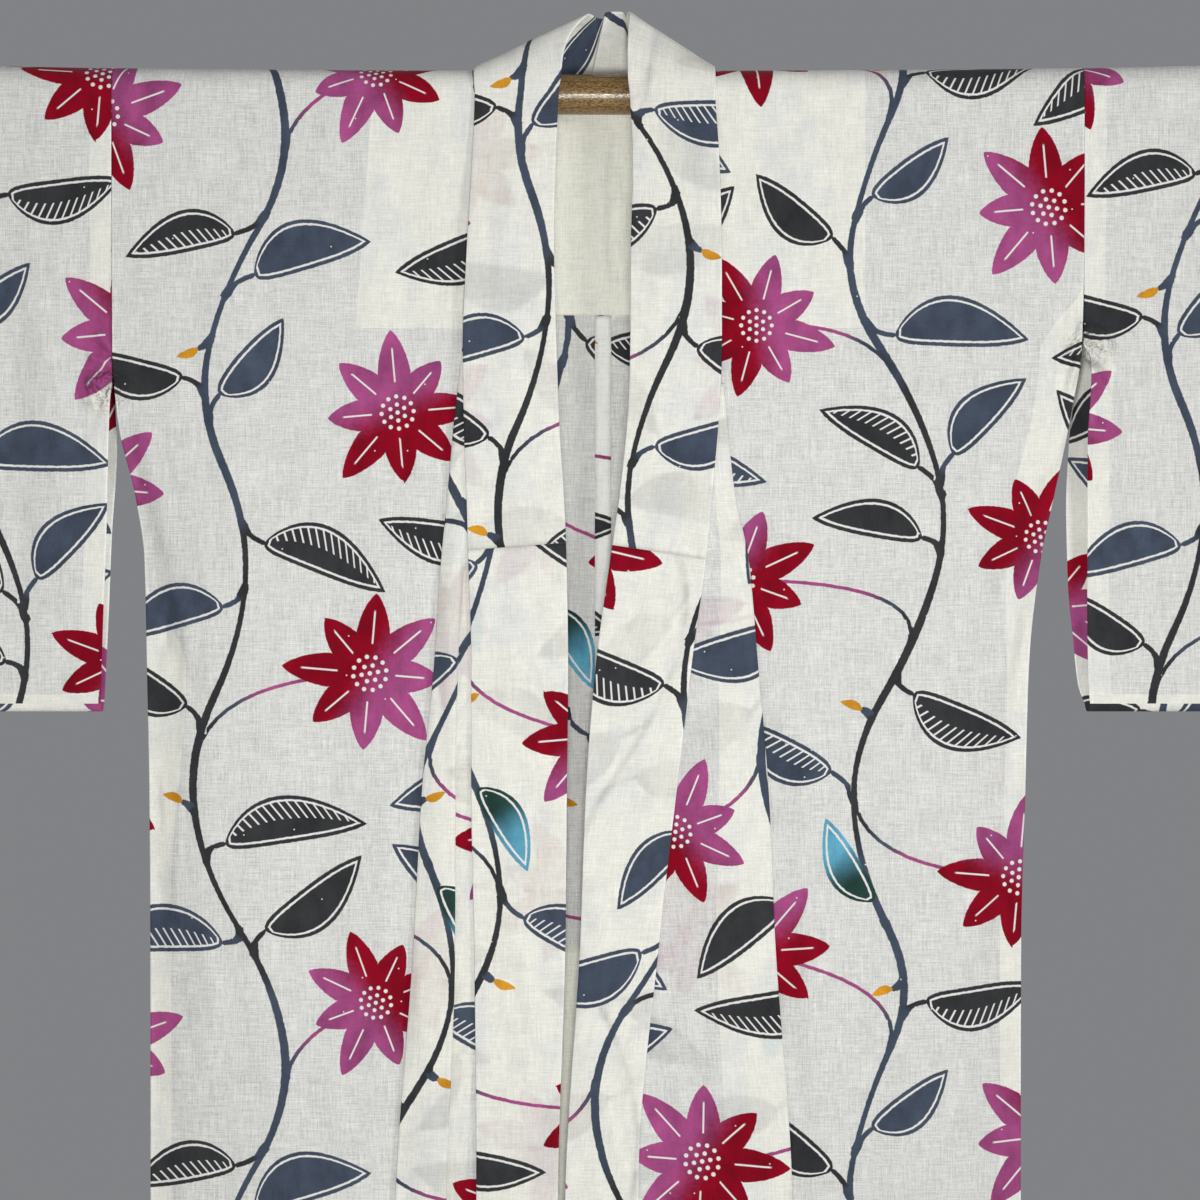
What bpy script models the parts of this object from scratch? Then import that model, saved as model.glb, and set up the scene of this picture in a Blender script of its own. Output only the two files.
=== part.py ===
"""Cotton yukata robe hung on a round wooden rod, as a family of closed solids.

Units in this file are millimetres until a mesh is made; Blender gets metres, +Z up.
The origin is the middle of the rod, on its axis. +X is the viewer's right (the wearer's
left), the fronts of the robe face -Y. Every piece of cloth is one wall: a grid of points
worked out from short tables, thickened by Solidify. Right and left are the wearer's.
"""
import math

import bpy
import numpy as np
from mathutils import Matrix

# ---------------------------------------------------------------- driving dimensions, mm
MM = 0.001

ROBE_LENGTH = 1600.0        # shoulder to hem
SLEEVE_SEAM_X = 313.0       # centre back to sleeve seam
SLEEVE_REACH = 638.0        # centre back to the cuff edge
SLEEVE_DROP = 414.0         # shoulder to the sleeve's bottom fold
CUFF_OPENING = 225.0        # shoulder to the foot of the open part of the cuff
SIDE_SEAM_TOP = -293.0      # height where the side seams start, under the open armhole

ROD_RADIUS = 13.0
ROD_LENGTH = 1400.0
ROD_EDGE = 2.5              # rounding of the rod's ends
ROD_SIDES = 48

CLOTH = 1.0                 # wall of the single cloth
COLLAR_WALL = 1.4           # the collar is folded cloth sewn together
OVER_COLLAR_WALL = 1.6      # the over-collar wraps the collar once more
GAP = 0.3                   # between pieces that are sewn together
SLACK = 0.2                 # added to GAP where faceted walls pass round the rod

LINING_RADIUS = ROD_RADIUS + GAP + SLACK + CLOTH / 2
BODY_RADIUS = LINING_RADIUS + CLOTH + GAP
SEAM_HALF = CLOTH / 2 + GAP / 2         # half the distance of two walls that meet flat

OVER_COLLAR_END = -293.0    # height where the over-collar stops
COLLAR_END = -850.0         # height where the collar stops
OKUMI_TOP = {-1: -165.0, 1: -188.0}     # upper point of each overlap panel
LAP = 6.0                   # cloth that runs on under the collar
LEVEL_COLLAR = 6.5          # collar's middle in front of the panel's deep level
HEM_Z = BODY_RADIUS - ROBE_LENGTH

LINING_FRONT_Z = -152.0     # lower edges of the shoulder lining
LINING_BACK_Z = -142.0
LINING_NECK_Z = -4.0        # upper edge of the lining behind the neck
LINING_X = (-145.0, 172.0)
NECK_HALF = 76.0            # half the neck opening at the shoulder
SEAT_TOP_Z = -551.0         # seat lining, sewn inside the back
SEAT_LENGTH = 400.0
SEAT_HALF = 185.0
ALLOWANCE_X = (-2.0, 8.5)   # turned allowance of the centre back seam


# ---------------------------------------------------------------- tables and curves
def table(names, rows):
    """Named columns of a short table, sorted by its first column."""
    data = np.array(sorted(rows), float)
    return dict(zip(names.split(), data.T))


def smooth(t, column, at):
    """Monotone cubic through a column of a table, so that no row is overshot."""
    keys = list(t)
    x, y = t[keys[0]], t[column]
    at = np.clip(np.asarray(at, float), x[0], x[-1])
    step, rise = np.diff(x), np.diff(y)
    slope = rise / step
    mean = np.zeros_like(y)
    same = slope[:-1] * slope[1:] > 0
    w1, w2 = 2 * step[1:] + step[:-1], step[1:] + 2 * step[:-1]
    safe = np.where(same, slope[:-1], 1.0), np.where(same, slope[1:], 1.0)
    mean[1:-1] = np.where(same, (w1 + w2) / (w1 / safe[0] + w2 / safe[1]), 0.0)
    mean[0], mean[-1] = slope[0], slope[-1]
    i = np.clip(np.searchsorted(x, at) - 1, 0, len(step) - 1)
    h, s = step[i], (at - x[i]) / step[i]
    return (y[i] * (1 + 2 * s) * (1 - s) ** 2 + mean[i] * h * s * (1 - s) ** 2
            + y[i + 1] * s * s * (3 - 2 * s) + mean[i + 1] * h * s * s * (s - 1))


def ease(s):
    """0 to 1 with level ends."""
    s = np.clip(s, 0.0, 1.0)
    return s * s * (3 - 2 * s)


# Depth of the hanging cloth behind or before the rod's axis, for both sides.
# front: middle of the front wall; deep: the same wall where it has turned under the
# overlap panel; back: middle of the back wall; edge: half the opening at the side edge.
DEPTH = table("z front deep back edge", [
    (16, 15.1, 15.1, 15.1, 15.1),
    (0, 15.1, 15.1, 15.1, 15.1),
    (-60, 14.3, 14.3, 14.2, 14.0),
    (-165, 12.6, 12.4, 12.2, 11.0),
    (-215, 12.0, 10.6, 11.2, 8.0),
    (-260, 11.4, 8.9, 10.4, 3.0),
    (-293, 11.1, 8.0, 10.0, 0.65),
    (-350, 11.0, 7.3, 9.2, 0.65),
    (-700, 11.0, 7.3, 8.0, 0.65),
    (-1600, 11.0, 7.3, 8.0, 0.65)])

# Lines of each front, seen from the front, as distances from the centre line.
# side: side seam; fold: crisp edge of the overlap panel; tuck: how far the front runs on
# under it; outer, inner: edges of the collar; roll: edge where the panel rolls back.
FRONT = {
    -1: table("z side fold tuck outer inner roll rollback", [
        (16, 313.0, 79.0, 6, 79.0, 25.0, 79.0, 8),
        (0, 313.0, 79.0, 6, 79.0, 25.5, 79.0, 8),
        (-50, 313.0, 81.0, 6, 81.0, 27.5, 81.0, 8),
        (-100, 313.0, 84.0, 6, 84.0, 28.4, 84.0, 8),
        (-165, 313.0, 87.4, 6, 86.6, 26.8, 84.0, 8),
        (-215, 309.0, 93.0, 9, 86.0, 25.0, 84.5, 8),
        (-260, 299.0, 97.0, 14, 84.3, 22.2, 87.0, 8),
        (-300, 293.5, 101.0, 20, 83.2, 20.6, 88.0, 8),
        (-367, 291.9, 105.5, 28, 81.3, 19.4, 90.0, 8),
        (-450, 290.3, 113.5, 36, 81.3, 20.2, 91.5, 9),
        (-550, 289.6, 119.0, 42, 79.4, 21.2, 91.8, 10),
        (-700, 289.5, 130.0, 45, 78.0, 25.8, 97.0, 11),
        (-850, 289.5, 136.0, 43, 80.0, 27.0, 101.0, 11),
        (-1600, 292.0, 142.0, 34, 84.0, 27.0, 104.0, 11)]),
    1: table("z side fold tuck outer inner roll rollback", [
        (16, 313.0, 74.5, 6, 74.5, 19.0, 74.5, 0),
        (0, 313.0, 75.0, 6, 75.0, 20.5, 75.0, 0),
        (-50, 313.0, 78.0, 6, 78.0, 22.6, 78.0, 0),
        (-100, 313.0, 79.2, 6, 79.2, 21.3, 79.2, 0),
        (-165, 311.8, 79.4, 6, 79.4, 20.9, 79.4, 0),
        (-200, 306.4, 82.0, 8, 78.0, 19.8, 78.0, 0),
        (-260, 294.8, 88.5, 13, 72.9, 14.0, 73.0, 0),
        (-300, 286.5, 97.0, 18, 68.6, 8.4, 68.6, 0),
        (-367, 279.0, 103.0, 25, 60.3, -1.0, 60.3, 0),
        (-450, 276.5, 110.0, 32, 50.4, -7.6, 50.4, 0),
        (-550, 273.8, 114.5, 38, 38.9, -11.4, 39.0, 0),
        (-700, 273.5, 125.0, 42, 26.0, -20.6, 26.0, 0),
        (-850, 275.0, 128.0, 34, 26.0, -23.4, 26.0, 0),
        (-1600, 280.0, 130.0, 20, 30.0, -23.4, 30.0, 0)])}

# Back neck: distance from the centre line of the back panel's edge, and the length of
# cloth from the shoulder line at which it lies.
NECKLINE = table("cloth x", [
    (0, 70.5), (8, 70.0), (15, 67.0), (20, 62.0), (24, 54.0), (28, 34.0), (33, 0.2)])

# Sleeve openings towards the body, as distances from the centre line.
SLEEVE_MOUTH = {
    -1: table("z front back", [
        (20, 313.4, 313.4), (-182, 313.4, 313.4), (-200, 314.8, 313.2),
        (-230, 316.0, 312.0), (-284, 317.5, 315.0), (-342, 319.8, 317.2),
        (-399, 321.5, 320.2)]),
    1: table("z front back", [
        (20, 313.4, 313.4), (-161, 313.4, 313.4), (-185, 315.2, 310.6),
        (-227, 316.0, 305.4), (-268, 316.0, 303.4), (-317, 316.0, 304.6),
        (-350, 316.2, 307.6), (-382, 317.0, 311.0), (-399, 318.4, 317.4)])}

# Rise of the cloth over the rod towards the sleeves.
CROWN = table("x rise", [(0, 0.0), (90, 0.0), (313, 1.6), (450, 4.2), (638, 5.5)])

# The collar from the front over the rod to the middle of the neck. Each row is one
# straight line of cloth from the seam (s) to the folded edge (e).
NECK_ROWS = {
    -1: table("row sx sy sz ex ey ez", [
        (0, -79.0, -17.0, 0.0, -25.5, -17.6, 0.0),
        (1, -79.6, -16.0, 6.6, -24.0, -17.8, 9.0),
        (2, -79.8, -12.6, 12.6, -22.6, -15.2, 23.0),
        (3, -79.2, -6.6, 16.6, -17.6, -9.4, 38.0),
        (4, -77.4, 0.6, 17.9, -7.6, -3.2, 50.4),
        (5, -74.2, 8.6, 15.9, -5.6, 1.4, 52.2),
        (6, -69.0, 15.2, 9.6, -3.0, 5.6, 51.8),
        (7, -60.0, 18.0, 1.4, -0.4, 9.2, 50.8),
        (8, -36.0, 19.0, -8.0, 1.6, 11.2, 50.2),
        (9, -17.0, 19.2, -13.0, 3.0, 10.6, 50.8),
        (10, -10.0, 19.0, -14.0, 5.4, 6.8, 54.0),
        (11, 5.0, 18.8, -14.4, 10.4, 6.0, 54.6)]),
    1: table("row sx sy sz ex ey ez", [
        (0, 75.0, -17.0, 0.0, 20.5, -17.6, 0.0),
        (1, 75.4, -16.0, 6.6, 19.4, -17.8, 10.0),
        (2, 75.4, -12.6, 12.6, 19.2, -15.2, 24.0),
        (3, 75.0, -6.6, 16.6, 19.6, -9.4, 39.0),
        (4, 73.8, 0.6, 17.9, 20.6, -3.2, 51.0),
        (5, 72.0, 8.6, 15.9, 19.6, 1.4, 53.6),
        (6, 68.4, 15.2, 9.6, 19.2, 5.6, 53.4),
        (7, 60.0, 18.0, 1.4, 18.8, 9.2, 51.8),
        (8, 44.0, 19.0, -8.0, 18.6, 11.2, 51.4),
        (9, 27.0, 19.2, -13.0, 17.8, 10.6, 51.8),
        (10, 20.0, 19.0, -14.0, 15.4, 6.8, 54.4),
        (11, 5.0, 18.8, -14.4, 10.4, 6.0, 54.6)])}


# ---------------------------------------------------------------- rows down the cloth
def heights(top, bottom, count, crowd=1.0):
    """Heights from top to bottom; crowd above 1 puts more of them near the top."""
    return top + (bottom - top) * np.linspace(0, 1, count) ** crowd


ARC = np.radians(np.linspace(90, -90, 11))      # round the rod, front to back
FRONT_Z = np.concatenate([heights(-14, -350, 10), heights(-400, HEM_Z, 13, 1.15)])
BACK_Z = np.concatenate([[-4.2, -9.2], heights(-30, HEM_Z, 10, 1.3)])


def cloth_rows(front_z, back_z):
    """Rows of a piece that hangs over the rod: (face, angle, height), front hem first."""
    rows = [("front", None, z) for z in front_z[::-1]]
    rows += [("arc", a, None) for a in ARC]
    rows += [("back", None, z) for z in back_z]
    return rows


def over_rod(x, angle, radius):
    """Points of a row that lies on the rod at an angle from its top."""
    rise = smooth(CROWN, "rise", np.abs(x))
    return np.stack([x, np.full_like(x, -radius * math.sin(angle)),
                     (radius + rise) * math.cos(angle)], 1)


# ---------------------------------------------------------------- body panels
def front_columns(side, z):
    """Distances from the centre of the columns of a front, side seam to inner edge."""
    row = {name: float(smooth(FRONT[side], name, z)) for name in ("side", "fold", "tuck")}
    near = row["side"] - GAP - np.array([0.0, 5.0, 16.0, 34.0])
    far = row["fold"] + np.array([24.0, 13.0, 5.0])
    middle = np.linspace(near[-1], far[0], 4)[1:-1]
    under = row["fold"] - np.array([0.35, 1.0]) * row["tuck"]
    return np.concatenate([near, middle, far, [row["fold"] - 1.0], under]), row


def front_depth(x, row, z):
    """Depth of a front: closed at the side seam, turned deeper beside the fold."""
    front, deep, edge = (float(smooth(DEPTH, name, z)) for name in ("front", "deep", "edge"))
    closing = ease((row["side"] - x) / 44.0)
    y = edge + (front - edge) * closing
    return -(y - (front - deep) * ease((row["fold"] + 22.0 - x) / 24.0))


def body_grid(side):
    """One body panel: front, shoulder and back in one length of cloth."""
    grid = []
    for face, angle, z in cloth_rows(FRONT_Z, BACK_Z):
        if face == "front":
            x, row = front_columns(side, z)
            points = np.stack([x, front_depth(x, row, z), np.full_like(x, z)], 1)
        elif face == "arc":
            x, row = front_columns(side, 0.0)
            cloth = max(0.0, -angle) * BODY_RADIUS
            inner = float(smooth(NECKLINE, "x", cloth))
            if angle < 0:
                x = row["side"] - GAP - (row["side"] - GAP - inner) * \
                    (row["side"] - GAP - x) / (row["side"] - GAP - x[-1])
            points = over_rod(x, angle, BODY_RADIUS)
        else:
            outer = float(smooth(FRONT[side], "side", z)) - GAP
            cloth = BODY_RADIUS * math.pi / 2 - z
            inner = float(smooth(NECKLINE, "x", cloth))
            share = np.array([0, 5, 16, 34, 80, 130, 170, 200, 225, 250, 280, 313]) / 313.0
            x = outer - (outer - inner) * share
            back, edge = float(smooth(DEPTH, "back", z)), float(smooth(DEPTH, "edge", z))
            y = edge + (back - edge) * ease((outer - x) / 44.0)
            points = np.stack([x, y, np.full_like(x, z)], 1)
        points[:, 0] *= side
        grid.append(points)
    return np.array(grid)


# ---------------------------------------------------------------- overlap panels (okumi)
def okumi_row(side, z):
    """Section of an overlap panel: seam, hairpin fold, roll, and the part under the collar.

    Levels are distances in front of the deep level of the body panel beside it.
    """
    row = {name: float(smooth(FRONT[side], name, z)) for name in FRONT[side]}
    deep = float(smooth(DEPTH, "deep", z))
    fold, outer, rollback = row["fold"], row["outer"], row["rollback"]
    down = ease((z + 600.0) / -240.0)
    end = (outer - 14.0) * (1 - down) + (row["inner"] + 1.2) * down
    back = row["tuck"] - 0.2
    x = [fold - back, fold - 0.5 * (back + 3.0), fold - 3.0, fold - 1.2, fold, fold - 1.2]
    level = [1.35, 1.8, 1.9, 2.1, 3.3, 4.5]
    if side < 0:
        roll = row["roll"]
        flat = np.linspace(fold - 3.2, end, 11)
        step = roll + np.array([0.0, 4.0, 1.2, 0.0, -0.5, -0.8, -1.1, -1.6, -3.2, 0.0, 0.0])
        step[[0, 9, 10]] = 0.5 * (fold + roll), outer - 1.0, end
        rolled = np.array([0.5 * (fold + roll), roll + 4.0, roll + 1.2, roll, roll + 1.3,
                           roll + rollback, roll + rollback + 1.1, roll + rollback - 0.2,
                           roll - 2.0, outer - 1.0, end])
        high = np.array([7.5, 8.3, 8.5, 7.3, 6.1, 6.1, 5.05, 4.0, 3.9, 4.1, 4.1])
        drop = np.array([7.3, 8.3, 8.5, 7.5, 6.8, 6.1, 5.4, 4.8, 4.2, 4.1, 4.1])
        stepped = ease((z + 245.0) / -75.0)
        turned = ease((z + 320.0) / -110.0)
        x += list((flat * (1 - stepped) + step * stepped) * (1 - turned) + rolled * turned)
        level += list((4.7 * (1 - stepped) + drop * stepped) * (1 - turned) + high * turned)
    else:
        wave = 1.6 * ease((z + 300) / -250) * np.sin(np.linspace(0, 2 * math.pi, 6))
        x += list(np.linspace(fold - 3.2, end, 6))
        level += list(4.6 + np.maximum(wave, -0.4))
    x, level = np.array(x), np.array(level)
    return np.stack([side * x, -(deep + level), np.full_like(x, z)], 1)


def okumi_grid(side):
    z = np.concatenate([heights(OKUMI_TOP[side], -420, 8), heights(-500, HEM_Z, 10, 1.1)])
    return np.array([okumi_row(side, v) for v in z])


# ---------------------------------------------------------------- collar
def collar_front_row(side, z, extra):
    """Straight line of collar cloth at a height, seam edge to folded edge."""
    outer = float(smooth(FRONT[side], "outer", z))
    inner = float(smooth(FRONT[side], "inner", z))
    deep = float(smooth(DEPTH, "deep", z))
    settle = ease(z / -120.0)
    y = 17.2 * (1 - settle) + (deep + LEVEL_COLLAR) * settle + extra
    share = np.array([0.0, 0.3, 0.7, 1.0])
    x = outer + (inner - outer) * share
    crown = np.array([0.0, 0.5, 0.5, 0.0])
    return np.stack([side * x, -(y + crown), np.full_like(x, z)], 1)


def collar_neck_row(side, at):
    """Line of collar cloth on its way over the rod and round the neck."""
    seam, edge = (np.array([float(smooth(NECK_ROWS[side], p + axis, at)) for axis in "xyz"])
                  for p in "se")
    share = np.array([0.0, 0.3, 0.7, 1.0])[:, None]
    return seam + (edge - seam) * share


def over_collar_grid():
    extra = (OVER_COLLAR_WALL - COLLAR_WALL) / 2
    down = heights(-16, OVER_COLLAR_END, 8)
    neck = np.concatenate([np.arange(0, 9, 0.5), [9, 10, 11]])
    halves = []
    for side in (-1, 1):
        rows = [collar_front_row(side, z, extra) for z in down[::-1]]
        rows += [collar_neck_row(side, at) for at in neck]
        halves.append(rows)
    return np.array(halves[0] + halves[1][-2::-1])


def collar_grid(side):
    return np.array([collar_front_row(side, z, 0.0)
                     for z in heights(OVER_COLLAR_END - GAP, COLLAR_END, 12)])


# ---------------------------------------------------------------- sleeves
def sleeve_half_depth(x, z):
    """Half the depth of a sleeve: flat at the bottom, sewn shut below the cuff opening."""
    hang = BODY_RADIUS + (3.2 - BODY_RADIUS) * ease(z / -360.0) ** 0.8
    foot = BODY_RADIUS - SLEEVE_DROP + 8.0
    sewn = ease((z + CUFF_OPENING) / -40.0) * ease((x - SLEEVE_REACH + 45.0) / 45.0)
    sewn = sewn * ease((z - foot) / 14.0)
    return hang + (SEAM_HALF - hang) * sewn


def sleeve_grid(side):
    """Loop of sections from the bottom up the front, over the rod and down the back."""
    bottom = BODY_RADIUS - SLEEVE_DROP
    down = heights(-14, bottom + 5.0, 11)
    share = np.array([0.0, 0.03, 0.12, 0.3, 0.5, 0.7, 0.88, 0.97, 1.0])
    grid = []

    def hanging(face, z):
        mouth = float(smooth(SLEEVE_MOUTH[side], face, z))
        x = mouth + (SLEEVE_REACH - mouth) * share
        y = sleeve_half_depth(x, z) * (-1 if face == "front" else 1)
        return np.stack([side * x, y, np.full_like(x, z)], 1)

    for z in down[::-1]:
        grid.append(hanging("front", z))
    for angle in ARC:
        x = SLEEVE_SEAM_X + 0.4 + (SLEEVE_REACH - SLEEVE_SEAM_X - 0.4) * share
        points = over_rod(x, angle, BODY_RADIUS)
        points[:, 0] *= side
        grid.append(points)
    for z in down:
        grid.append(hanging("back", z))
    for face, lift in (("back", 1.6), ("back", 0.0), ("front", 0.0), ("front", 1.6)):
        row = hanging(face, bottom + 5.0)
        row[:, 1] *= 0.82 if lift else 0.36
        row[:, 2] = bottom + lift
        grid.append(row)
    return np.array(grid)


# ---------------------------------------------------------------- linings
def shoulder_lining():
    """Lining over the shoulders, open at the front of the neck; returns grid and holes."""
    x = np.array([LINING_X[0], -125, -105, -NECK_HALF, -48, -16, 16, 48, NECK_HALF,
                  105, 140, LINING_X[1]], float)
    front = heights(-14, LINING_FRONT_Z, 5)
    back = np.concatenate([[LINING_NECK_Z], heights(-30, LINING_BACK_Z, 4)])
    grid = []
    keep = []
    inward = CLOTH + GAP + 0.2
    for face, angle, z in cloth_rows(front, back):
        if face == "arc":
            points = over_rod(x, angle, LINING_RADIUS)
            points[:, 2] -= smooth(CROWN, "rise", np.abs(x)) * math.cos(angle)
        else:
            name, sign = ("front", -1) if face == "front" else ("back", 1)
            y = float(smooth(DEPTH, name, z)) - inward
            points = np.stack([x, np.full_like(x, sign * y), np.full_like(x, z)], 1)
        grid.append(points)
        keep.append(face == "back" and z <= LINING_NECK_Z)
    return np.array(grid), keep


def flat_on_back(x_low, x_high, z_high, z_low, inward, columns, rows):
    """A flat piece that lies against the inside of the back."""
    x = np.linspace(x_low, x_high, columns)
    z = np.linspace(z_high, z_low, rows)
    y = smooth(DEPTH, "back", z) - inward
    return np.stack([np.tile(x, (rows, 1)), np.tile(y[:, None], (1, columns)),
                     np.tile(z[:, None], (1, columns))], 2)


# ---------------------------------------------------------------- Blender objects
def material(name, colour, roughness):
    made = bpy.data.materials.new(name)
    made.use_nodes = True
    shader = made.node_tree.nodes["Principled BSDF"]
    shader.inputs["Base Color"].default_value = (*colour, 1.0)
    shader.inputs["Roughness"].default_value = roughness
    shader.inputs["Metallic"].default_value = 0.0
    made.diffuse_color = (*colour, 1.0)
    return made


def wall(name, grid, thickness, finish, robe, loop=False, keep=None):
    """One closed solid: a grid of points in mm joined by quads and thickened."""
    rows, columns = grid.shape[:2]
    index = np.arange(rows * columns).reshape(rows, columns)
    if loop:
        index = np.vstack([index, index[:1]])
    quads = np.stack([index[:-1, :-1], index[:-1, 1:], index[1:, 1:], index[1:, :-1]], 2)
    if keep is not None:
        inside = np.abs((grid[0, :-1, 0] + grid[0, 1:, 0]) / 2) < NECK_HALF
        hole = inside[None, :] & ~np.array([a and b for a, b in zip(keep, keep[1:])])[:, None]
        quads = quads[~hole]
    mesh = bpy.data.meshes.new(name)
    quads = quads.reshape(-1, 4)
    used, faces = np.unique(quads, return_inverse=True)
    mesh.from_pydata((grid.reshape(-1, 3)[used] * MM).tolist(), [],
                     faces.reshape(-1, 4).tolist())
    mesh.shade_smooth()
    piece = bpy.data.objects.new(name, mesh)
    robe.objects.link(piece)
    mesh.materials.append(finish)
    shell = piece.modifiers.new("wall", "SOLIDIFY")
    shell.thickness = thickness * MM
    shell.offset = 0.0
    return piece


def rod(finish, robe):
    bpy.ops.mesh.primitive_cylinder_add(vertices=ROD_SIDES, radius=ROD_RADIUS * MM,
                                        depth=ROD_LENGTH * MM)
    piece = bpy.context.object
    piece.name = "rod"
    piece.data.transform(Matrix.Rotation(math.pi / 2, 4, "Y"))
    for owner in list(piece.users_collection):
        owner.objects.unlink(piece)
    robe.objects.link(piece)
    piece.data.materials.append(finish)
    edge = piece.modifiers.new("rounded ends", "BEVEL")
    edge.width = ROD_EDGE * MM
    edge.segments = 2
    edge.limit_method = "ANGLE"
    edge.angle_limit = math.radians(60)
    piece.data.shade_smooth()
    return piece


def build():
    for old in list(bpy.data.objects):
        bpy.data.objects.remove(old, do_unlink=True)
    robe = bpy.data.collections.new("yukata_on_rod")
    bpy.context.scene.collection.children.link(robe)
    printed = material("printed_cotton", (0.80, 0.79, 0.75), 0.85)
    plain = material("plain_cotton", (0.84, 0.83, 0.78), 0.88)
    wood = material("lacquered_wood", (0.28, 0.16, 0.055), 0.35)

    rod(wood, robe)
    for side, name in ((-1, "right"), (1, "left")):
        wall(f"body_{name}", body_grid(side), CLOTH, printed, robe)
        wall(f"okumi_{name}", okumi_grid(side), CLOTH, printed, robe)
        wall(f"collar_{name}", collar_grid(side), COLLAR_WALL, printed, robe)
        wall(f"sleeve_{name}", sleeve_grid(side), CLOTH, printed, robe, loop=True)
    wall("over_collar", over_collar_grid(), OVER_COLLAR_WALL, printed, robe)
    lining, keep = shoulder_lining()
    wall("shoulder_lining", lining, CLOTH, plain, robe, keep=keep)
    inward = CLOTH + GAP + 0.05
    wall("seam_allowance", flat_on_back(*ALLOWANCE_X, LINING_BACK_Z - 0.4, HEM_Z + 4.0,
                                        inward, 2, 14), CLOTH, printed, robe)
    wall("seat_lining", flat_on_back(-SEAT_HALF, SEAT_HALF, SEAT_TOP_Z,
                                     SEAT_TOP_Z - SEAT_LENGTH, 2 * inward, 7, 6),
         CLOTH, plain, robe)


build()
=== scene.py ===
# %% [markdown]
# # A cotton yukata hung on a wooden rod
# The robe is a handful of straight lengths of one printed cloth: two body panels that run
# from the front hem over the shoulder to the back hem, two overlap panels, two sleeves, a
# collar and a second collar over it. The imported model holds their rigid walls. Here each
# wall is made again as thin cloth on the same surface, fine enough for creases, and dyed
# by a pattern that is laid out in flat cloth before it is hung.

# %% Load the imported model
import math

import bpy
import numpy as np
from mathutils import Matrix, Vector


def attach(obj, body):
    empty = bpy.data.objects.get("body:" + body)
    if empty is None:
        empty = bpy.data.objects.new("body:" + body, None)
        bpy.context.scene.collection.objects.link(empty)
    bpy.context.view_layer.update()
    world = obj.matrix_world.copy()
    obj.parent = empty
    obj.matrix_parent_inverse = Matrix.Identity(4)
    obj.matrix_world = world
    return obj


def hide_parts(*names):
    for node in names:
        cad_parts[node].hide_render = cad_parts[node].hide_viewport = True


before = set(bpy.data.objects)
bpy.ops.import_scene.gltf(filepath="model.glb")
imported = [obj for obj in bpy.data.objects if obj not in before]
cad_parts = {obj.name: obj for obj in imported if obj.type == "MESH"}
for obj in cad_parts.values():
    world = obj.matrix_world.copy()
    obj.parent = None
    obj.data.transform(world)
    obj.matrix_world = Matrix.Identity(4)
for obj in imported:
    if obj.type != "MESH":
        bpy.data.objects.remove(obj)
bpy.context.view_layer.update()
MM = 0.001
print("nodes:", sorted(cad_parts))

# %% [markdown]
# ## Camera first
# The picture is a close view of a tall robe: a square of 0.774 m about 0.33 m below the
# rod. A long lens far away keeps the rod and the front of the cloth at nearly one scale.
# The lens follows from the distance and the width that the picture takes in.

# %% Camera
VIEW_WIDTH = 0.774
CAMERA_DISTANCE = 2.6
SENSOR = 36.0
AIM = Vector((0.0013, -0.008, -0.327))
camera = bpy.data.objects.new("camera", bpy.data.cameras.new("camera"))
bpy.context.scene.collection.objects.link(camera)
camera.location = AIM - Vector((0, CAMERA_DISTANCE, 0))
camera.rotation_euler = (math.pi / 2, 0, 0)
camera.data.sensor_width = SENSOR
camera.data.lens = SENSOR * CAMERA_DISTANCE / VIEW_WIDTH
camera.data.clip_end = 50.0
bpy.context.scene.camera = camera
print("lens", round(camera.data.lens, 1), "mm")

# %% [markdown]
# ## Sizes
# The same sizes as the robe's solids, in millimetres. Heights are measured from the rod's
# axis and breadths from the centre line, so one table serves a whole panel.

# %% Sizes of the robe
BODY_RADIUS = 15.1              # middle of the body cloth round the rod
QUARTER = BODY_RADIUS * math.pi / 2
ROBE_LENGTH = 1600.0
HEM_Z = BODY_RADIUS - ROBE_LENGTH
SLEEVE_SEAM_X = 313.0
SLEEVE_REACH = 638.0
SLEEVE_DROP = 414.0
CUFF_OPENING = 225.0
SLEEVE_FOOT = BODY_RADIUS - SLEEVE_DROP
OVER_COLLAR_END = -293.0
COLLAR_END = -850.0
OKUMI_TOP = {-1: -165.0, 1: -188.0}
LEVEL_COLLAR = 6.5
LINING_RADIUS = 14.0
LINING_FRONT_Z, LINING_BACK_Z, LINING_NECK_Z = -152.0, -142.0, -4.0
LINING_X = (-145.0, 172.0)
LINING_SLANT = 11.0
NECK_HALF = 76.0
SEAT_TOP_Z, SEAT_LENGTH, SEAT_HALF = -551.0, 400.0, 185.0
ALLOWANCE_X = (-2.0, 8.5)
HEM_TURN = 20.0
CLOTH = 0.5                     # thickness of the shown cloth
FAR = 99.0                      # a distance that marks nothing
print("robe", ROBE_LENGTH, "mm long,", 2 * SLEEVE_REACH, "mm over the sleeves")

# %% [markdown]
# ## Tables and smooth curves
# A shape that changes down the robe is a short table with named columns. Between its rows
# the value follows a smooth curve that never swings past a row, as straight-cut cloth does.

# %% Tables and smooth curves


def table(names, rows):
    """Named columns of a short table, sorted by its first column."""
    data = np.array(sorted(rows), float)
    return dict(zip(names.split(), data.T))


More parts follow.
